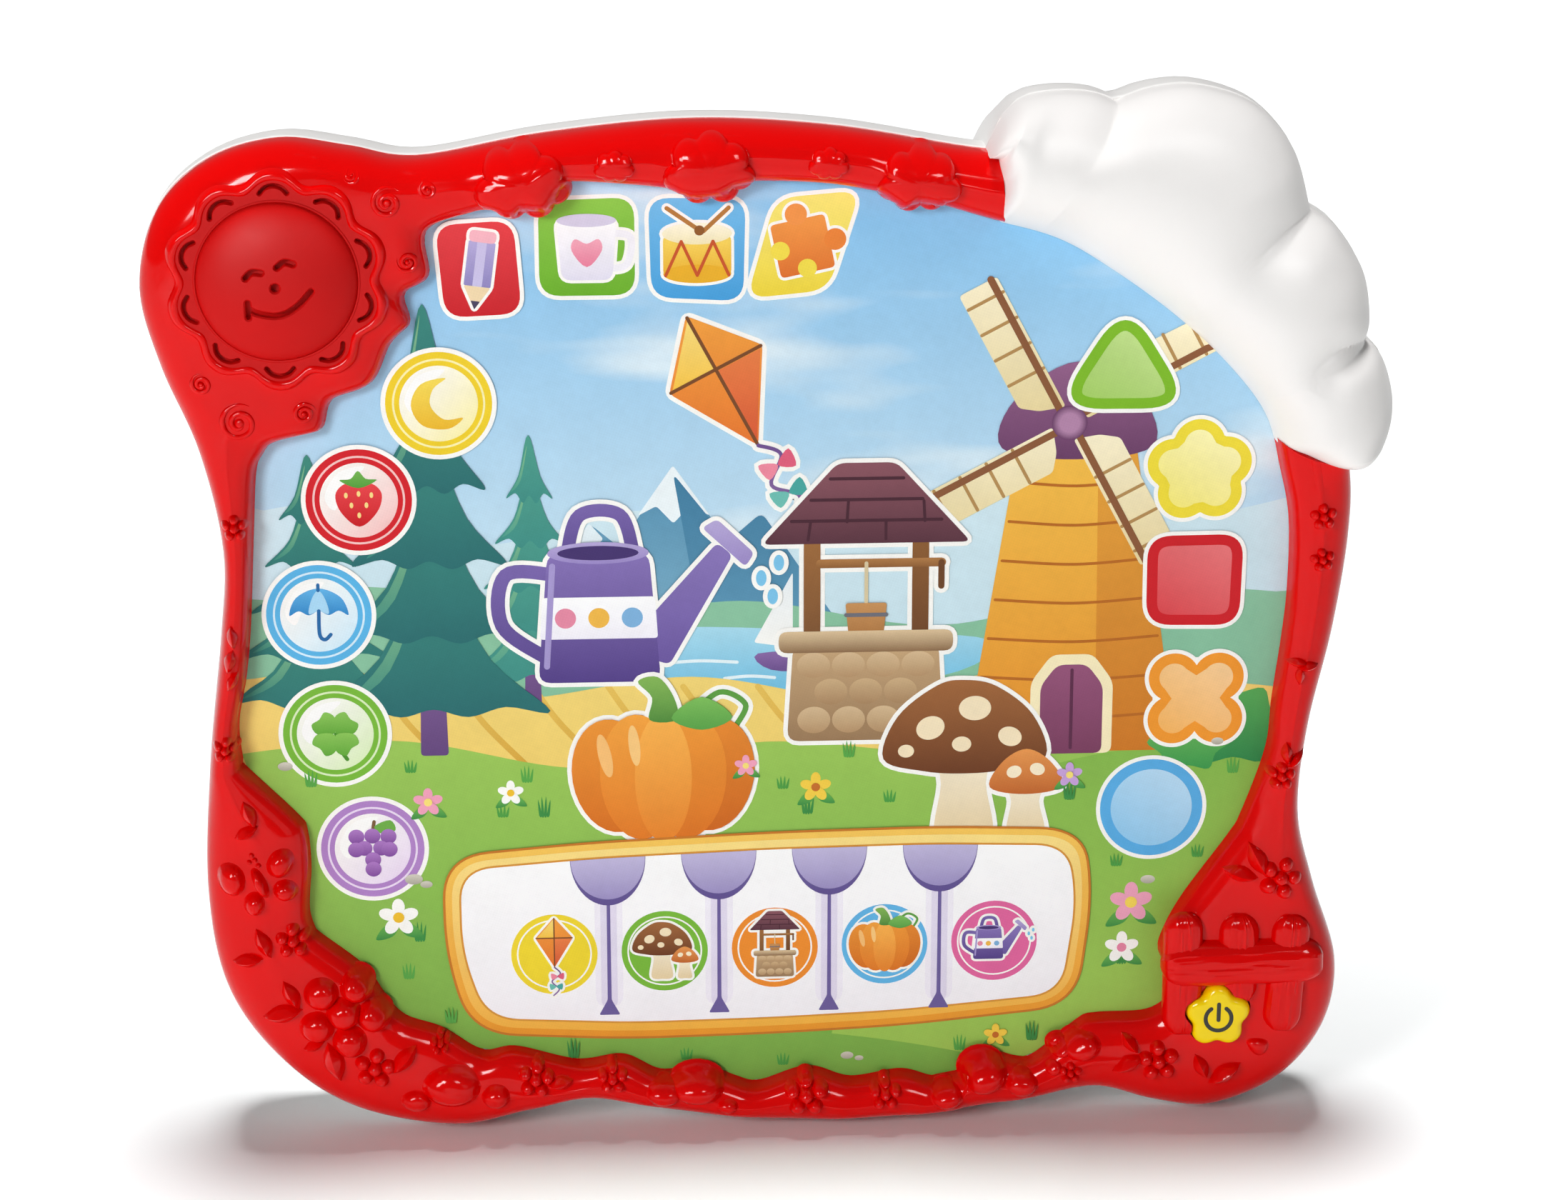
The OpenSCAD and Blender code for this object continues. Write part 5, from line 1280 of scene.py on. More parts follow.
def fir(x, y, h, w, dark, light):
    trunk = [(-0.06, y - 2), (0.06, y - 2), (0.045, y + 0.3 * h), (-0.045, y + 0.3 * h)]
    ink(rounded([(x + s * w, v) for s, v in trunk], 1), "#64477d", "#8a68a0")
    for k in range(5):
        low, high, half = y + h * (0.08 + 0.17 * k), y + h * (0.42 + 0.145 * k), 0.5 * w * (1 - 0.17 * k)
        tall = high - low
        skirt = [
            (0, high), (-0.45, low + 0.38 * tall), (-1, low + 0.5), (-0.6, low + 1.6), (-0.28, low - 0.8),
            (0, low + 1.0), (0.3, low - 1.0), (0.62, low + 1.4), (1, low + 0.2), (0.5, low + 0.36 * tall),
        ]
        ink(smooth([(x + s * half, v) for s, v in skirt], 5), dark, light)
        shine = [(-0.06, high - 2.5), (-0.42, low + 0.36 * tall), (-0.8, low + 2), (-0.36, low + 0.3 * tall)]
        ink(smooth([(x + s * half, v) for s, v in shine], 5), light, "#86bf8e")


inks, tint = blank_leaf()
fir(-58, 114, 66, 34, "#3f8f86", "#4f9f8c")
fir(-110, 108, 68, 44, "#2f7672", "#3f8c7c")
fir(-82, 102, 110, 56, "#2a6c6e", "#3c8a7e")
print("patches with the firs:", len(laid))

# %% [markdown]
# A windmill stands on the right. Its four blades are one blade turned about the hub. Bushes hide
# its foot, and a small boat lies on the lake.

# %% Windmill and boat
TOWER = [(46, 98), (98, 98), (86, 176), (58, 176)]
ink(rounded(TOWER, 2), "#e58f2a", "#f6c04c")
ink(rounded([(78, 98), (98, 98), (86, 176), (77, 176)], 1.5), "#cf7a26", "#e6a33c")
for k in range(1, 8):
    y, half = 98 + 9.8 * k, 26 - 1.5 * k
    ink(ribbon([(72 - half + 1, y), (72, y - 1.2), (72 + half - 1, y)], 0.7), "#b96a24")
ink(smooth([(54, 175), (57, 187), (72, 196), (87, 187), (90, 175), (72, 172)]), "#6a3f66", "#94618a")
ink(rounded([(62, 97.5), (82, 97.5), (82, 116), (77, 123), (67, 123), (62, 116)], 2), "#fbeec2")
MILL_DOOR = [(64.4, 97.5), (79.6, 97.5), (79.6, 115), (75.6, 120.4), (68.4, 120.4), (64.4, 115)]
ink(rounded(MILL_DOOR, 2), "#7a3f5f", "#96557a")
ink(ribbon([(72, 99), (72, 119)], 0.8), "#5d2e4a")
BLADE = [(4, -1), (40, -1), (40, 9), (9, 9), (6, 5)]
hub = Vector((70, 181))
for k in range(4):
    turn = Matrix.Rotation(radians(28 + 90 * k), 2)
    ink(rounded([hub + turn @ Vector(q) for q in BLADE], 1), "#e9d7a0", "#fbf0cd")
    for u in (15, 22, 29, 36):
        ink(ribbon([hub + turn @ Vector((u, -0.6)), hub + turn @ Vector((u, 8.6))], 0.8), "#b58d55")
    ink(ribbon([hub + turn @ Vector((1, 0.6)), hub + turn @ Vector((40, 0.6))], 1.7), "#8c5a3a")
ink(oval(*hub, 4.2), "#6a3f66", core="#b486aa")
BUSHES = [
    (112, 104, 12, "#2f8a4c", "#58ab58"), (101, 100, 9, "#3c9a4e", "#6ebb5c"),
    (42, 99, 8, "#3a9450", "#66b45a"), (50, 97, 6, "#2f8a4c", "#58ab58"),
]
for x, y, r, dark, light in BUSHES:
    bush = [(tau * k / 12, r * (1 + 0.14 * (-1) ** k)) for k in range(12)]
    ink(smooth([(x + b * cos(a), y + 0.8 * b * sin(a)) for a, b in bush], 4), dark, light)
ink(smooth([(-4, 124.6), (14, 124.6), (10.6, 120.4), (-0.8, 120.4)], 4), "#6b4f8d", "#8b6aa8")
ink(rounded([(4.4, 126), (4.4, 145), (-5, 127.4)], 0.8), WHITE, "#e7eef2")
ink(rounded([(6, 126), (6, 142), (13.4, 127.4)], 0.8), "#f08a3c", "#f6b04e")
print_leaf("print_trees")

# %% [markdown]
# Five pictures with a white border answer to the touch: a kite, a watering can, a well, a
# pumpkin and mushrooms. They are drawn round their own middle once, so that small copies can
# go on the keys as well.

# %% Kite and watering can
BOWS = [
    ([(2, -26), (6.4, -23.4), (6, -28.4)], "#e2607e"), ([(2, -26), (-2.6, -23.8), (-1.8, -28.6)], "#ef8aa0"),
    ([(1, -34), (5.4, -31.6), (5, -36.4)], "#4aa7a0"), ([(1, -34), (-3.6, -31.8), (-2.8, -36.6)], "#6fc0b4"),
]
KITE = [
    (rounded([(0, 20), (13.5, 4), (0, -19), (-13.5, 4)], 1.5), "#e8772e", "#f3a03f", True),
    (rounded([(0, 19), (-12.6, 4), (0, 4)], 0.6), "#f6c445", "#f9dc7c"),
    (rounded([(0.4, 3.4), (12.6, 3.4), (0.4, -17.6)], 0.6), "#d95a35", "#ea7f45"),
    (ribbon([(0, 19.4), (0, -18.4)], 0.9), "#7a4a2a"), (ribbon([(-13, 4), (13, 4)], 0.9), "#7a4a2a"),
    (ribbon([(0, -19), (4, -24), (-2, -30), (3, -36), (-1, -41)], 1.0), "#8a68a0", "#6f5190", True),
    *[(smooth(bow, 4), colour, None, True) for bow, colour in BOWS],
]
CAN = [
    (ribbon([(-10, 8), (-21, 8), (-22, -4), (-12, -12)], 3.2), "#5d4a90", "#7a66ac", True),
    (ribbon([(-7, 13), (-4, 22), (5, 22), (8, 13)], 3.0), "#5d4a90", "#7a66ac", True),
    (rounded([(10, -12), (12, -2), (27, 15), (30.5, 12), (16, -14)], 1.5), "#6b57a0", "#8a77ba", True),
    (rounded([(23.6, 18.6), (33.4, 9.2), (35.4, 12.4), (27, 20.6)], 1.2), "#9a89c6", "#b6a8d8", True),
    (rounded([(-14, -18), (14, -18), (11.5, 13), (-11.5, 13)], 3), "#544088", "#8672b6", True),
    (rounded([(-13.4, -7.5), (13.4, -7.5), (12.8, 2.5), (-12.8, 2.5)], 0.8), "#f4f1fa", "#ffffff"),
    (oval(-7.6, -2.5, 2.4), "#e58aa4"), (oval(0, -2.5, 2.4), "#f0b84a"), (oval(7.6, -2.5, 2.4), "#7fb2dd"),
    (oval(0, 13, 11.5, 2.6), "#9a89c6", "#b6a8d8"), (oval(0, 13, 9.2, 1.7), "#46346f"),
    (ribbon([(-10.4, 10), (-12, -14)], 1.4), "#a698cf"),
    *[(oval(x, y, 1.2, 1.9), "#7cc4ea", None, True) for x, y in [(37, 6.4), (41, 10), (39.6, 2)]],
]
print("parts of the kite", len(KITE), "and of the can", len(CAN))

# %% [markdown]
# The well has a shingled roof and rows of round stones. What repeats comes from short loops.

# %% Well
ROOF_ROWS = [[(-22.5 + 4.6 * k, 19.5 + 5.2 * k), (22.5 - 4.6 * k, 19.5 + 5.2 * k)] for k in range(1, 4)]
SHINGLES = [[(-14 + 9.3 * k, 20 + 4.4 * (k % 2)), (-13.4 + 9 * k, 24.4 + 5 * (k % 2))] for k in range(4)]
WELL = [
    (rounded([(-15, -6), (-11, -6), (-11, 22), (-15, 22)], 0.6), "#7c5230", "#a06c3c", True),
    (rounded([(11, -6), (15, -6), (15, 22), (11, 22)], 0.6), "#6e4528", "#8f5f34", True),
    (ribbon([(-11, 14), (18, 14)], 2.2), "#8f5f34", "#b27c48", True),
    (ribbon([(18, 14), (18, 8)], 1.5), "#6e4528", None, True), (ribbon([(0, 14), (0, 3)], 0.9), "#d9c9a2"),
    (rounded([(-5, 4), (5, 4), (4, -6), (-4, -6)], 0.8), "#a9713c", "#c8925a"),
    (ribbon([(-4.8, 1), (4.8, 1)], 1.0), "#6f6f78"),
    (rounded([(-25, 19), (25, 19), (7, 39), (-7, 39)], 2), "#5a3440", "#8a5560", True),
    *[(ribbon(row, 0.8), "#4a2834") for row in ROOF_ROWS],
    *[(ribbon(row, 0.7), "#4a2834") for row in SHINGLES],
    (rounded([(-19, -31), (19, -31), (17.5, -6), (-17.5, -6)], 3), "#9a7a58", "#c7a67c", True),
    *[(oval(-12.5 + 8.4 * k, -25.6, 4, 3.4), "#b5926a", "#d6ba92") for k in range(4)],
    *[(oval(-8.4 + 8.4 * k, -18.4, 4, 3.3), "#a98660", "#cdae84") for k in range(3)],
    *[(oval(-12.6 + 8.4 * k, -11.6, 4, 3.2), "#b5926a", "#d6ba92") for k in range(4)],
    (rounded([(-21, -8.4), (21, -8.4), (21, -3), (-21, -3)], 2.2), "#8b6a4a", "#dcc29a", True),
]
print("parts of the well", len(WELL))

# %% [markdown]
# Pumpkin and mushrooms are smooth curves and ovals. Then all five pictures are printed at once.

# %% Pumpkin, mushrooms and printing
STALK = [(-3, 12.6), (-2.4, 18), (-5.6, 22), (-1, 23), (2.6, 18), (3.2, 12.6)]
PUMPKIN = [
    (ribbon([(6, 13), (13, 19), (19, 16), (17, 11)], 1.3), "#5fa044", None, True),
    (oval(-11.5, -1, 9.5, 14, 8), "#d8701f", "#ee9636", True),
    (oval(11.5, -1, 9.5, 14, -8), "#cf671c", "#e68a30", True),
    (oval(-5.6, -1.4, 9, 15.4, 3), "#e27a24", "#f5a440", True),
    (oval(5.6, -1.4, 9, 15.4, -3), "#dd7421", "#f09a38", True),
    (oval(0, -1.6, 6.6, 15.8), "#e8842a", "#fab450"),
    (oval(-13.4, 4, 1.5, 5.4, 12), "#f7bf76"), (oval(-6.6, 6.4, 1.3, 5, 6), "#f9c980"),
    (smooth(STALK, 5), "#4f8a3c", "#86b858", True),
    (smooth([(2, 13), (9, 18), (16, 13), (9, 10)], 5), "#56a048", "#7fc05c"),
]
CAP_SPOTS = [
    (-10.4, 9, 3.6, 3, 24), (0.6, 14, 4, 3.2), (9.4, 6.4, 3, 2.5, -24), (-2.6, 4.6, 2.4, 2),
    (-16.4, 3, 2, 1.7),
]
BIG_STEM = [(-9, -19), (-7.6, -6), (-8.6, 4), (4.6, 4), (3.6, -6), (5.4, -19), (-2, -20.6)]
BIG_CAP = [
    (-22, 1), (-18.6, 12), (-9, 20), (-2, 21.4), (6, 19.6), (15, 12), (18.4, 1), (8, -2.4), (-2, -3.2),
    (-12, -2.4),
]
SMALL_STEM = [(9, -19.6), (10, -11), (9, -6), (18, -6), (17, -11), (18.6, -19.6), (14, -20.4)]
SMALL_CAP = [(4.6, -7), (7.6, -0.4), (13.6, 3), (19.6, -0.4), (22.8, -7), (13.6, -9)]
MUSHROOMS = [
    (smooth(BIG_STEM, 5), "#e6cfa2", "#faf0d8", True),
    (smooth(BIG_CAP, 6), "#6d3d22", "#a2683c", True),
    *[(oval(*spots), "#f6e4c0") for spots in CAP_SPOTS],
    (smooth(SMALL_STEM, 5), "#e6cfa2", "#faf0d8", True),
    (smooth(SMALL_CAP, 6), "#c2662c", "#ea9a52", True),
    (oval(10.6, -3, 1.9, 1.6, 20), "#faeccc"), (oval(16.4, -2.4, 1.9, 1.6, -20), "#faeccc"),
]
inks, tint = blank_leaf()
sticker(KITE, -12, 192, 0.92, 28)
sticker(CAN, -42, 137, 1.05)
sticker(WELL, 22, 133, 1.0)
sticker(PUMPKIN, -27, 95, 1.05)
sticker(MUSHROOMS, 48, 96, 0.98)
print_leaf("print_pictures")

# %% [markdown]
# Each round key gets a small thing of its own colour: a moon, a strawberry, an umbrella, a clover
# and grapes. At this size a few curves are enough.

# %% Small things
CRESCENT = [
    (2, 7), (-4.6, 5.4), (-7.4, -0.4), (-4.4, -6), (2.4, -7), (6.4, -4), (1.4, -4.4), (-2.2, -0.6), (-1.4, 4),
]
MOON = [(smooth(CRESCENT, 5), "#eab62a", "#f7dc58", True)]
FRUIT = [(0, -7.4), (-4.8, -3.4), (-6.2, 1.6), (-3.6, 4.6), (0, 3.8), (3.6, 4.6), (6.2, 1.6), (4.8, -3.4)]
SEEDS = [(-3.4, 1.4), (0, 1.8), (3.4, 1.4), (-2, -1.4), (2, -1.4), (0, -4.2)]
STRAWBERRY = [
    (smooth(FRUIT, 5), "#c9151f", "#e8444a", True),
    (smooth([(0, 3.4), (-5, 5.6), (-2, 6), (0, 8.2), (2, 6), (5, 5.6)], 4), "#4f9a3a", "#76b852", True),
    *[(oval(x, y, 0.5, 0.8), "#f7d98a") for x, y in SEEDS],
]
CANOPY = [(-8, 0), (-6, 5), (0, 7.6), (6, 5), (8, 0), (5.4, 1.2), (2.7, 0), (0, 1.2), (-2.7, 0), (-5.4, 1.2)]
UMBRELLA = [
    (smooth(CANOPY, 5), "#2f86c8", "#62b4e8", True),
    (smooth([(-2.7, 0.4), (-1.8, 4.6), (0, 7), (1.8, 4.6), (2.7, 0.4), (0, 1.2)], 5), "#a8d8f4"),
    (ribbon([(0, 1.2), (0, -5.4), (1.4, -7), (3, -5.6)], 1.0), "#2a6aa6"),
    (ribbon([(0, 7), (0, 8.6)], 0.9), "#2a6aa6"),
]
CLOVER_LEAF = [(0.3, 0), (3.4, 3.4), (6.4, 2.6), (6, 0), (6.4, -2.6), (3.4, -3.4)]
four_leaves = [[Matrix.Rotation(radians(45 + 90 * k), 2) @ Vector(q) for q in CLOVER_LEAF] for k in range(4)]
CLOVER = [
    (ribbon([(0.2, 0), (1, -4), (3, -7.4)], 1.1), "#4b8f2e", None, True),
    *[(smooth(line, 4), "#5fa638", "#8cc65a", True) for line in four_leaves],
]
BERRIES = [
    (-4.4, 3.6), (0, 3.8), (4.4, 3.6), (-2.3, 0.2), (2.3, 0.2), (0, -3.2), (-4.6, -0.2), (4.6, -0.2), (0, -6),
]
GRAPES = [
    (ribbon([(0, 4.6), (0.6, 8)], 1.0), "#7a5a3a", None, True),
    (smooth([(0.6, 6.6), (5, 8.4), (6.4, 5.4), (2.8, 4.4)], 4), "#6fae4a", None, True),
    *[(oval(x, y, 2.2), "#7f4a9c", "#b07cc6", True) for x, y in BERRIES],
]
print("small things:", len([MOON, STRAWBERRY, UMBRELLA, CLOVER, GRAPES]))

# %% [markdown]
# The round keys on the left look like glass buttons: a coloured rim, a fine pale line and a
# light middle with a slanting gleam. Rings laid one on another make them.

# %% Round keys
ROUND_KEYS = [
    (-78.7, 188, "#f0cf2c", "#faf0ae", MOON), (-98.1, 164.7, "#d3202a", "#f6c6c4", STRAWBERRY),
    (-108.5, 136.3, "#5ab4e6", "#d3ecf9", UMBRELLA),
    (-105.7, 106.1, "#79b93c", "#dcefc0", CLOVER), (-97.7, 76.2, "#b184c8", "#ecdcf3", GRAPES),
]
GLEAM = [(-8, 1), (-4.6, 6.8), (1.6, 8.2), (-3, 3.4), (-5.6, -2.4)]
inks, tint = blank_leaf()
for x, y, colour, pale, picture in ROUND_KEYS:
    for r, shade in ((13.6, WHITE), (12.5, colour), (10.9, pale), (10.4, colour)):
        ink(oval(x, y, r, steps=56), shade)
    ink(oval(x, y, 9.2, steps=56), pale, WHITE, 135)
    ink(smooth([(x + gx, y + gy) for gx, gy in GLEAM], 5), "#fdfdfb")
    sticker(picture, x, y, 0.88, border=0)
print_leaf("print_round_keys")

# %% [markdown]
# The shapes on the right are for naming colours and forms: triangle, flower, square, four
# rings in one, circle. Each is a white border, a strong band and a lighter middle.

# %% Shape keys
SQUARE = [(89.4, 152.6), (112.6, 152.8), (112.2, 129.8), (89.6, 130.2)]
SHAPE_KEYS = [
    (rounded([(82.6, 211), (66, 184.4), (99.2, 184.2)], 12, 10), "#7fba2a", "#a6cf68", "#bfdd8a"),
    (around((101.4, 168.7), lobed(5, 6.6, 6.2, 92)), "#f1dc3c", "#f8ec7e", "#fdf6b4"),
    (rounded(SQUARE, 6, 8), "#cf1f28", "#dd4a50", "#e9777a"),
    (around((102.3, 111.2), lobed(4, 7.6, 6.2, 45)), "#f39a30", "#f7b763", "#fbd199"),
    (oval(92.3, 83, 12.6, steps=60), "#5aaee6", "#93cbf0", "#b9def7"),
]
KEY_BORDER, KEY_BAND = 1.0, 2.6
inks, tint = blank_leaf()
for line, colour, middle, light in SHAPE_KEYS:
    ink(grown(line, KEY_BORDER), WHITE)
    ink(line, colour)
    ink(grown(line, -KEY_BAND), middle, light, 60)
print_leaf("print_shape_keys")

# %% [markdown]
# Four tiles hang along the top edge, each with a thing to ask for: a pencil, a cup, a drum and a
# piece of a puzzle. A tile is a border, a graded colour and a sticker in its middle.

# %% Tiles
PENCIL = [
    (rounded([(-3.4, 7.6), (3.4, 7.6), (3.4, -4), (-3.4, -4)], 0.4), "#8f86c0", "#b3abdb", True),
    (rounded([(-1.2, 7.6), (1.2, 7.6), (1.2, -4), (-1.2, -4)], 0.2), "#c9c3e8"),
    (rounded([(-3.4, -4), (3.4, -4), (0, -10)], 0.5), "#f0d9ae", None, True),
    (rounded([(-1.2, -7.8), (1.2, -7.8), (0, -10)], 0.3), "#4a4560"),
    (rounded([(-3.4, 7.4), (3.4, 7.4), (3.4, 10.4), (-3.4, 10.4)], 1.2), "#f3b7c4", None, True),
]
CUP = [
    (ribbon([(6, 4), (11, 3), (10, -4), (5, -5)], 1.8), "#f4f2f8", None, True),
    (rounded([(-7.6, 7.6), (7.6, 7.6), (6.4, -8), (-6.4, -8)], 2.4), "#e3dff0", "#ffffff", True),
    (oval(0, 7.4, 7.5, 1.7), "#d6cfe6"),
    (smooth([(0, -4.6), (-3.8, -0.4), (-3, 2.6), (0, 1.4), (3, 2.6), (3.8, -0.4)], 4), "#ea7f9c", "#f3a8bb"),
]
LACING = [[(-8 + 4 * k, 2.4 if k % 2 else -6.4), (-4 + 4 * k, -6.4 if k % 2 else 2.4)] for k in range(4)]
DRUM = [
    (rounded([(-8.6, 4), (8.6, 4), (8.6, -6.6), (-8.6, -6.6)], 1.6), "#eab02a", "#f8d860", True),
    (oval(0, -6, 8.6, 2.4), "#eab02a", None, True), (oval(0, 4.4, 8.8, 2.8), "#f2e6b6", "#fdf8e0", True),
    *[(ribbon(lace, 0.8), "#c8552c") for lace in LACING],
    (ribbon([(-7.6, 11), (0.4, 5.4)], 1.1), "#b57a3c", None, True),
    (ribbon([(8, 11), (1.6, 5)], 1.1), "#b57a3c", None, True), (oval(0.6, 5.2, 1.3), "#8f5a2a"),
]
PUZZLE = [
    (rounded([(-7, -7), (7, -7), (7, 7), (-7, 7)], 1.2), "#e0712c", "#f29a48", True),
    (oval(0, 8.4, 2.8), "#f0954a", None, True), (oval(8.4, 0, 2.8), "#ea8438", None, True),
    (oval(-5.8, 0, 2.4), "#f2dc4c"), (oval(0, -5.8, 2.4), "#f2dc4c"),
]
TILES = [
    ([(-78.4, 230.6), (-60.4, 231.6), (-58.8, 209.4), (-76.6, 208.6)], "#cb1f28", "#e04046", PENCIL, -8),
    ([(-54.6, 236), (-32.4, 236.6), (-32.4, 213.4), (-54.6, 213.4)], "#6bb02a", "#8cc84a", CUP, 0),
    ([(-29.2, 236.4), (-6.6, 236), (-7.2, 211.6), (-28.6, 212.8)], "#459fdc", "#74bdec", DRUM, 0),
    ([(0.4, 236), (20, 237.6), (12.6, 214), (-6.4, 212.2)], "#efd63c", "#f7e878", PUZZLE, 12),
]
inks, tint = blank_leaf()
for corners, colour, light, picture, turn in TILES:
    line = rounded(corners, 5, 6)
    ink(grown(line, KEY_BORDER), WHITE)
    ink(line, colour, light)
    middle = sum((Vector(c) for c in corners), Vector((0, 0))) / 4
    sticker(picture, middle.x, middle.y - 0.4, 0.92, turn, 0.7)
print_leaf("print_tiles")

# %% [markdown]
# Along the bottom is a keyboard for five notes. Its golden tray and white field are one outline
# in several sizes. The field's upper edge is asked for later, so it gets a function of its own.

# %% Keyboard tray
TRAY = [
    (-80.5, 73.5), (-45.5, 76.4), (-0.6, 78.2), (40.7, 78.8), (75.5, 77.6), (78, 60), (74.6, 31),
    (31.6, 26.8), (-0.6, 25.4), (-36.6, 24.8), (-74.6, 27), (-80.5, 48),
]
FIELD_MID, NOTE_STEP = 51.5, 27.1
inks, tint = blank_leaf()
tray = rounded(TRAY, 11, 10)
field = rounded([(x * 0.952, FIELD_MID + (y - FIELD_MID) * 0.845) for x, y in TRAY], 8, 10)
ink(grown(tray, 0.6), "#c9792a")
ink(tray, "#ec9a2c", "#f8c95c")
ink(grown(tray, -1.6), "#f4b443", "#fce08a")
ink(grown(field, 0.5), "#d9953a")
ink(field, "#f8f6fb", "#ffffff")


def field_top(x):
    """Height of the white field's upper edge at x."""
    sides = [(a, b) for a, b in zip(field, field[1:] + field[:1]) if a.y > FIELD_MID]
    a, b = next((a, b) for a, b in sides if min(a.x, b.x) <= x <= max(a.x, b.x))
    return a.y + (b.y - a.y) * (x - a.x) / (b.x - a.x) if b.x != a.x else a.y


print("the field's upper edge in the middle is at", round(field_top(0), 1), "mm")

# %% [markdown]
# Thin stems part the white keys, and short lilac keys hang from the field's upper edge. Each white
# key has a coloured disc with a small copy of one of the touch pictures.

# %% Keys
BETWEEN_KEYS = (-40.8, -13.7, 13.4, 40.6)
KEY_STEM = [(-0.4, 68), (0.4, 68), (0.5, 35), (2.6, 31), (-2.6, 31), (-0.5, 35)]
for x in BETWEEN_KEYS:
    for wide, shade in ((3.4, "#f3eff9"), (2.0, "#e3dcf0")):
        ink(rounded([(x - wide, 68), (x + wide, 68), (x + wide, 33), (x - wide, 33)], wide), shade)
    ink(rounded([(x + s, y) for s, y in KEY_STEM], 0.5), "#6d5f9c")
    for half, deep, dark, light in ((9.2, 12.4, "#5f5090", "#75689f"), (9.1, 10.8, "#9c91c4", "#c3bbdf")):
        top = [Vector((x + half * (k / 10 - 1), field_top(x + half * (k / 10 - 1)))) for k in range(21)]
        turns = [pi * k / 24 for k in range(1, 24)]
        below = [Vector((x + half * cos(t), top[10].y - deep * sin(t))) for t in turns]
        ink(top + below, dark, light)
NOTES = [
    ("#f1d732", KITE, 0.34), ("#7ab93c", MUSHROOMS, 0.36), ("#ef8e2e", WELL, 0.25),
    ("#62b6e8", PUMPKIN, 0.42), ("#e2679f", CAN, 0.27),
]
for k, (colour, picture, size) in enumerate(NOTES):
    x, y = NOTE_STEP * (k - 2), 47.5 + 0.3 * k
    for r, shade in ((10.6, colour), (9.2, WHITE), (8.8, colour)):
        ink(oval(x, y, r, steps=48), shade)
    sticker(picture, x - (1.4 if picture is CAN else 0), y + (3 if picture is KITE else 0), size, border=0.6)
print_leaf("print_keyboard")

# %% [markdown]
# Grass, small flowers and pebbles fill the meadow. They are scattered one by one where a printer
# would leave bare green.

# %% Meadow


def tuft(x, y, h, colour):
    for lean in (-0.55, -0.2, 0.2, 0.6):
        tip = h * (1 - 0.4 * abs(lean))
        blade = [(x + 1.6 * lean - 0.35, y), (x + 2.6 * lean, y + tip), (x + 1.6 * lean + 0.35, y)]
        ink(smooth(blade, 3), colour)


def bloom(x, y, r, colour, heart, petals=5):
    for k in range(petals):
        way = 360 * k / petals + 18
        px, py = x + 0.6 * r * cos(radians(way)), y + 0.6 * r * sin(radians(way))
        ink(oval(px, py, 0.48 * r, 0.34 * r, way, 18), colour)
    ink(oval(x, y, 0.3 * r, steps=16), heart)


def leaf(x, y, long, way, colour="#3f8f46"):
    tip = Vector((x, y)) + long * Vector((cos(radians(way)), sin(radians(way))))
    side = 0.24 * long * Vector((-sin(radians(way)), cos(radians(way))))
    middle = Vector((x, y)).lerp(tip, 0.45)
    ink(smooth([(x, y), middle + side, tip, middle - side], 5), colour, "#6db653")


TUFTS = [
    (-88, 96), (-60, 93), (-56, 84), (2, 90), (18, 98), (72, 86), (84, 68), (112, 92), (-87, 52), (-66, 84),
    (-90, 42), (-50, 20), (2, 16.5), (46, 19.5), (86, 42), (104, 70), (-112, 93), (8, 83.5), (28, 86),
    (-80, 30), (64, 22), (-22, 18.5),
]
inks, tint = blank_leaf()
for k, (x, y) in enumerate(TUFTS):
    tuft(x, y, 3.4 + k % 3, ("#4f9e46", "#5aa84a", "#3f8f46")[k % 3])
BLOOMS = [
    (-92, 58, 4.6, "#fdfdf8", "#f2c230"), (-84, 88, 3.4, "#f3a3bd", "#fbe27a"),
    (10, 90, 3.6, "#f6d04a", "#c8702c"), (88, 58, 5, "#f0a6c0", "#f7d95a"),
    (86, 46, 4.0, "#fdfdf8", "#e889a8"), (72, 92, 3, "#c9a4dc", "#f7e07a"),
    (-64, 90, 3, "#fdfdf8", "#f2c230"), (55, 23.2, 2.8, "#f6d04a", "#c8702c"),
    (-7, 96, 2.6, "#f3a3bd", "#fbe27a"),
]
for x, y, r, colour, heart in BLOOMS:
    for way in (215, 330):
        leaf(x, y - 0.4 * r, 1.5 * r, way)
    bloom(x, y, r, colour, heart)
PEBBLES = [
    (-88, 68, 2.2), (-85, 66.6, 1.5), (92, 64, 1.8), (18, 18.4, 1.6), (21, 17.6, 1.1), (108, 100, 1.5),
    (-118, 98, 1.8),
]
for x, y, r in PEBBLES:
    ink(oval(x, y, r, 0.62 * r, steps=18), "#a9a596", "#d8d4c6")
layers = max(n for _, n in laid)
print("patches", len(laid), "layers", layers, "height in mm", layers * LAYER)
print_leaf("print_meadow")

# %% [markdown]
# What is inside keeps its solids, and each gets the finish of its stock: plated steel, green
# board, rubber wires. One table from slot to finish dresses them all.

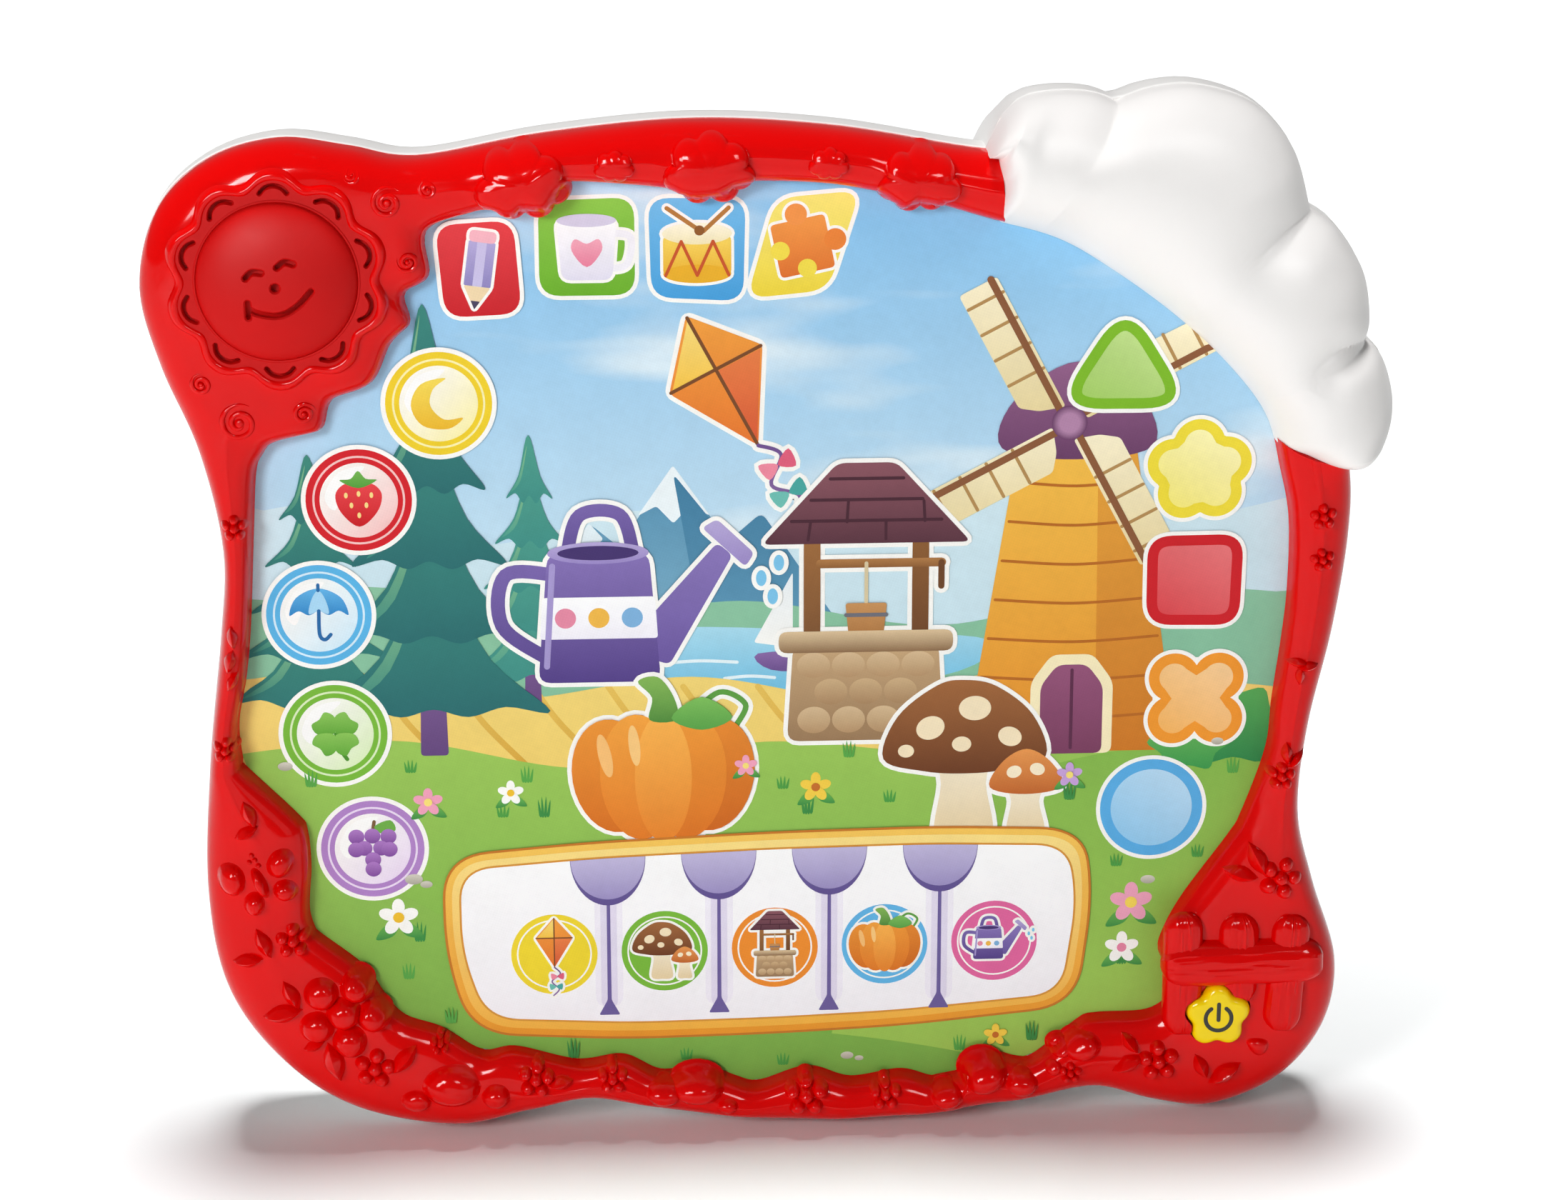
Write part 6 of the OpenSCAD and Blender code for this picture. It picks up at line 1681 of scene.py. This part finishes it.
# %% Inside finishes
stock = {
    "red_gloss": red_gloss, "red_satin": red_satin, "white_shell": white_shell, "cloud_white": cloud_white,
    "button_yellow": button_yellow, "print": sky_ink,
    "film": moulded("film", "#dcd6c2", 0.35, 0.03, 0.03, 0.5),
    "carbon": moulded("carbon", "#2b2b2b", 0.75, 0.15, 0.3, 0.15),
    "inner_plastic": moulded("inner_plastic", "#e2e0dc", 0.5, 0.02, 0.12, 0.3),
    "black_plastic": moulded("black_plastic", "#232323", 0.5, 0.1, 0.2, 0.25),
    "foam": moulded("foam", "#262626", 0.95, 0.3, 0.8, 0.4),
    "board": moulded("board", "#2c7a43", 0.3, 0.12, 0.08, 0.8),
    "sleeve": moulded("sleeve", "#2d3f78", 0.25, 0.08, 0.05, 0.4),
    "steel": moulded("steel", "#c9cacc", 0.3, 0.06, 0.12, 0.2, Metallic=1.0),
    "magnet": moulded("magnet", "#5b5c60", 0.55, 0.15, 0.4, 0.3, Metallic=0.6),
    "cell": moulded("cell", "#bf9d45", 0.35, 0.08, 0.06, 0.5),
    "wire_red": moulded("wire_red", "#b9251f", 0.5, 0.06, 0.1, 0.3),
    "wire_blue": moulded("wire_blue", "#2f62aa", 0.5, 0.06, 0.1, 0.3),
    "wire_yellow": moulded("wire_yellow", "#d9b824", 0.5, 0.06, 0.1, 0.3),
}
for part in frame["record"]["subparts"]:
    for place in nodes[part["node"]].material_slots:
        place.material = stock[part["material_slot"]]

# %% [markdown]
# The camera looks slightly down, as the photograph does. Its lens is long, so the tablet's top
# is hardly narrower than its foot. The lens comes from the perspective of the printed circles.

# %% Camera
AZIMUTH, ELEVATION, DISTANCE = radians(-3.1), radians(18.3), 0.94
SENSOR, FOCAL_PIXELS, PHOTO_PIXELS = 36, 5500, 2195
target = Vector((0.0023, sheet_front, 0.138))
away = Vector((sin(AZIMUTH) * cos(ELEVATION), -cos(AZIMUTH) * cos(ELEVATION), sin(ELEVATION)))
lens = bpy.data.cameras.new("camera")
lens.sensor_width, lens.lens = SENSOR, SENSOR * FOCAL_PIXELS / PHOTO_PIXELS
camera = bpy.data.objects.new("camera", lens)
camera.location = target + away * DISTANCE
camera.rotation_euler = away.to_track_quat("Z", "Y").to_euler()
bpy.context.collection.objects.link(camera)
bpy.context.scene.camera = camera
print("camera at", tuple(round(c, 3) for c in camera.location))

# %% [markdown]
# A soft box high on the left lights the front, and a weak one on the right opens the shadows. Two
# more are seen in glossy plastic only: they put the small lights on the raised figures without
# making the picture paler. A broad lamp above brightens the floor and draws the shadow.

# %% Lamps
MIDDLE = (0, 0, 0.13)
LAMPS = [
    ("key", (-0.95, -1.35, 0.74), MIDDLE, 0.42, 15, False),
    ("fill", (1.2, -1.3, 0.5), (0, 0, 0.1), 0.6, 0.8, False),
    ("left glint", (-0.5, -1.15, 0.85), MIDDLE, 0.34, 15, True),
    ("right glint", (0.55, -1.1, 0.95), MIDDLE, 0.28, 5, True),
]
ABOVE_POWER, ABOVE_WIDTH, ABOVE_FROM = 2.6, radians(12), (0.0, 0.07, 1)


def softbox(name, place, aim, size, power, glint_only):
    light = bpy.data.lights.new(name, "AREA")
    light.shape, light.size, light.energy = "SQUARE", size, power
    obj = bpy.data.objects.new(name, light)
    obj.visible_diffuse = not glint_only
    obj.location = place
    obj.rotation_euler = (Vector(place) - Vector(aim)).to_track_quat("Z", "Y").to_euler()
    bpy.context.collection.objects.link(obj)


for row in LAMPS:
    softbox(*row)
sun_lamp = bpy.data.lights.new("above", "SUN")
sun_lamp.energy, sun_lamp.angle = ABOVE_POWER, ABOVE_WIDTH
lamp = bpy.data.objects.new("above", sun_lamp)
lamp.rotation_euler = Vector(ABOVE_FROM).to_track_quat("Z", "Y").to_euler()
lamp.visible_glossy = False
bpy.context.collection.objects.link(lamp)
print("lamps:", len(LAMPS) + 1)

# %% [markdown]
# The floor is pale paper. Away from the toy it glows a little for rays that come straight from the
# camera, so that it fades into the white room without more light on the toy, and it keeps its
# shadow close by. Glossy and clear surfaces see the same glow, but weakly.

# %% Floor
FLOOR_SIZE, TOY_REACH, GLOW_FROM, GLOW_RISE, GLOW, GLOSS_SHARE = 8, (0.2, 0.13), 0.7, 0.9, 0.5, 0.1


def seen_by(tree):
    """Two values of 0 or 1: a ray is the camera's own, or comes by way of a glossy or clear surface."""
    ray = tree.nodes.new("ShaderNodeLightPath")
    kinds = ("Is Camera Ray", "Is Glossy Ray", "Is Transmission Ray")
    own, glossy, through = [Wire(tree, ray.outputs[kind]) for kind in kinds]
    return own, glossy + through


floor_mesh = bmesh.new()
bmesh.ops.create_grid(floor_mesh, x_segments=2, y_segments=2, size=FLOOR_SIZE)
floor_finish, floor_shader, here = start_finish("floor_paper", Roughness=0.9, Specular_IOR_Level=0.1)
feed(floor_shader, "Base Color", here.noise(60, 2).mix(srgb("#f2f4f4"), srgb("#f5f7f7")))
reach = (1 / TOY_REACH[0], 1 / TOY_REACH[1], 0)
flat = here.node("ShaderNodeVectorMath", {"operation": "MULTIPLY"}, {0: here, 1: reach})
away_from_toy = flat.node("ShaderNodeVectorMath", {"operation": "LENGTH"}, {0: flat}, output=1)
straight, by_gloss = seen_by(here.tree)
seen = (straight + by_gloss * GLOSS_SHARE) * ((away_from_toy - GLOW_FROM) * GLOW_RISE).clip()
feed(floor_shader, "Emission Color", seen.mix((0, 0, 0, 1), (GLOW, GLOW, GLOW, 1)))
floor_shader.inputs["Emission Strength"].default_value = 1.0
mesh = bpy.data.meshes.new("floor")
floor_mesh.to_mesh(mesh)
floor_mesh.free()
mesh.materials.append(floor_finish)
floor = bpy.data.objects.new("floor", mesh)
bpy.context.collection.objects.link(floor)
print("floor of", 2 * FLOOR_SIZE, "m")

# %% [markdown]
# The room is white where the camera sees it, but it gives little light, so that the lamps model
# the forms.

# %% Room
ROOM, ROOM_SEEN = 0.06, 0.94
world = bpy.data.worlds.new("room")
bpy.context.scene.world = world
world.use_nodes = True
sky = world.node_tree.nodes["Background"]
sky.inputs["Color"].default_value = (1, 1, 1, 1)
straight, by_gloss = seen_by(world.node_tree)
feed(sky, "Strength", straight * ROOM_SEEN + by_gloss * GLOSS_SHARE + ROOM)
bpy.context.scene.view_settings.view_transform = "Standard"
print("room light", ROOM, "and seen as", ROOM + ROOM_SEEN)

# %% [markdown]
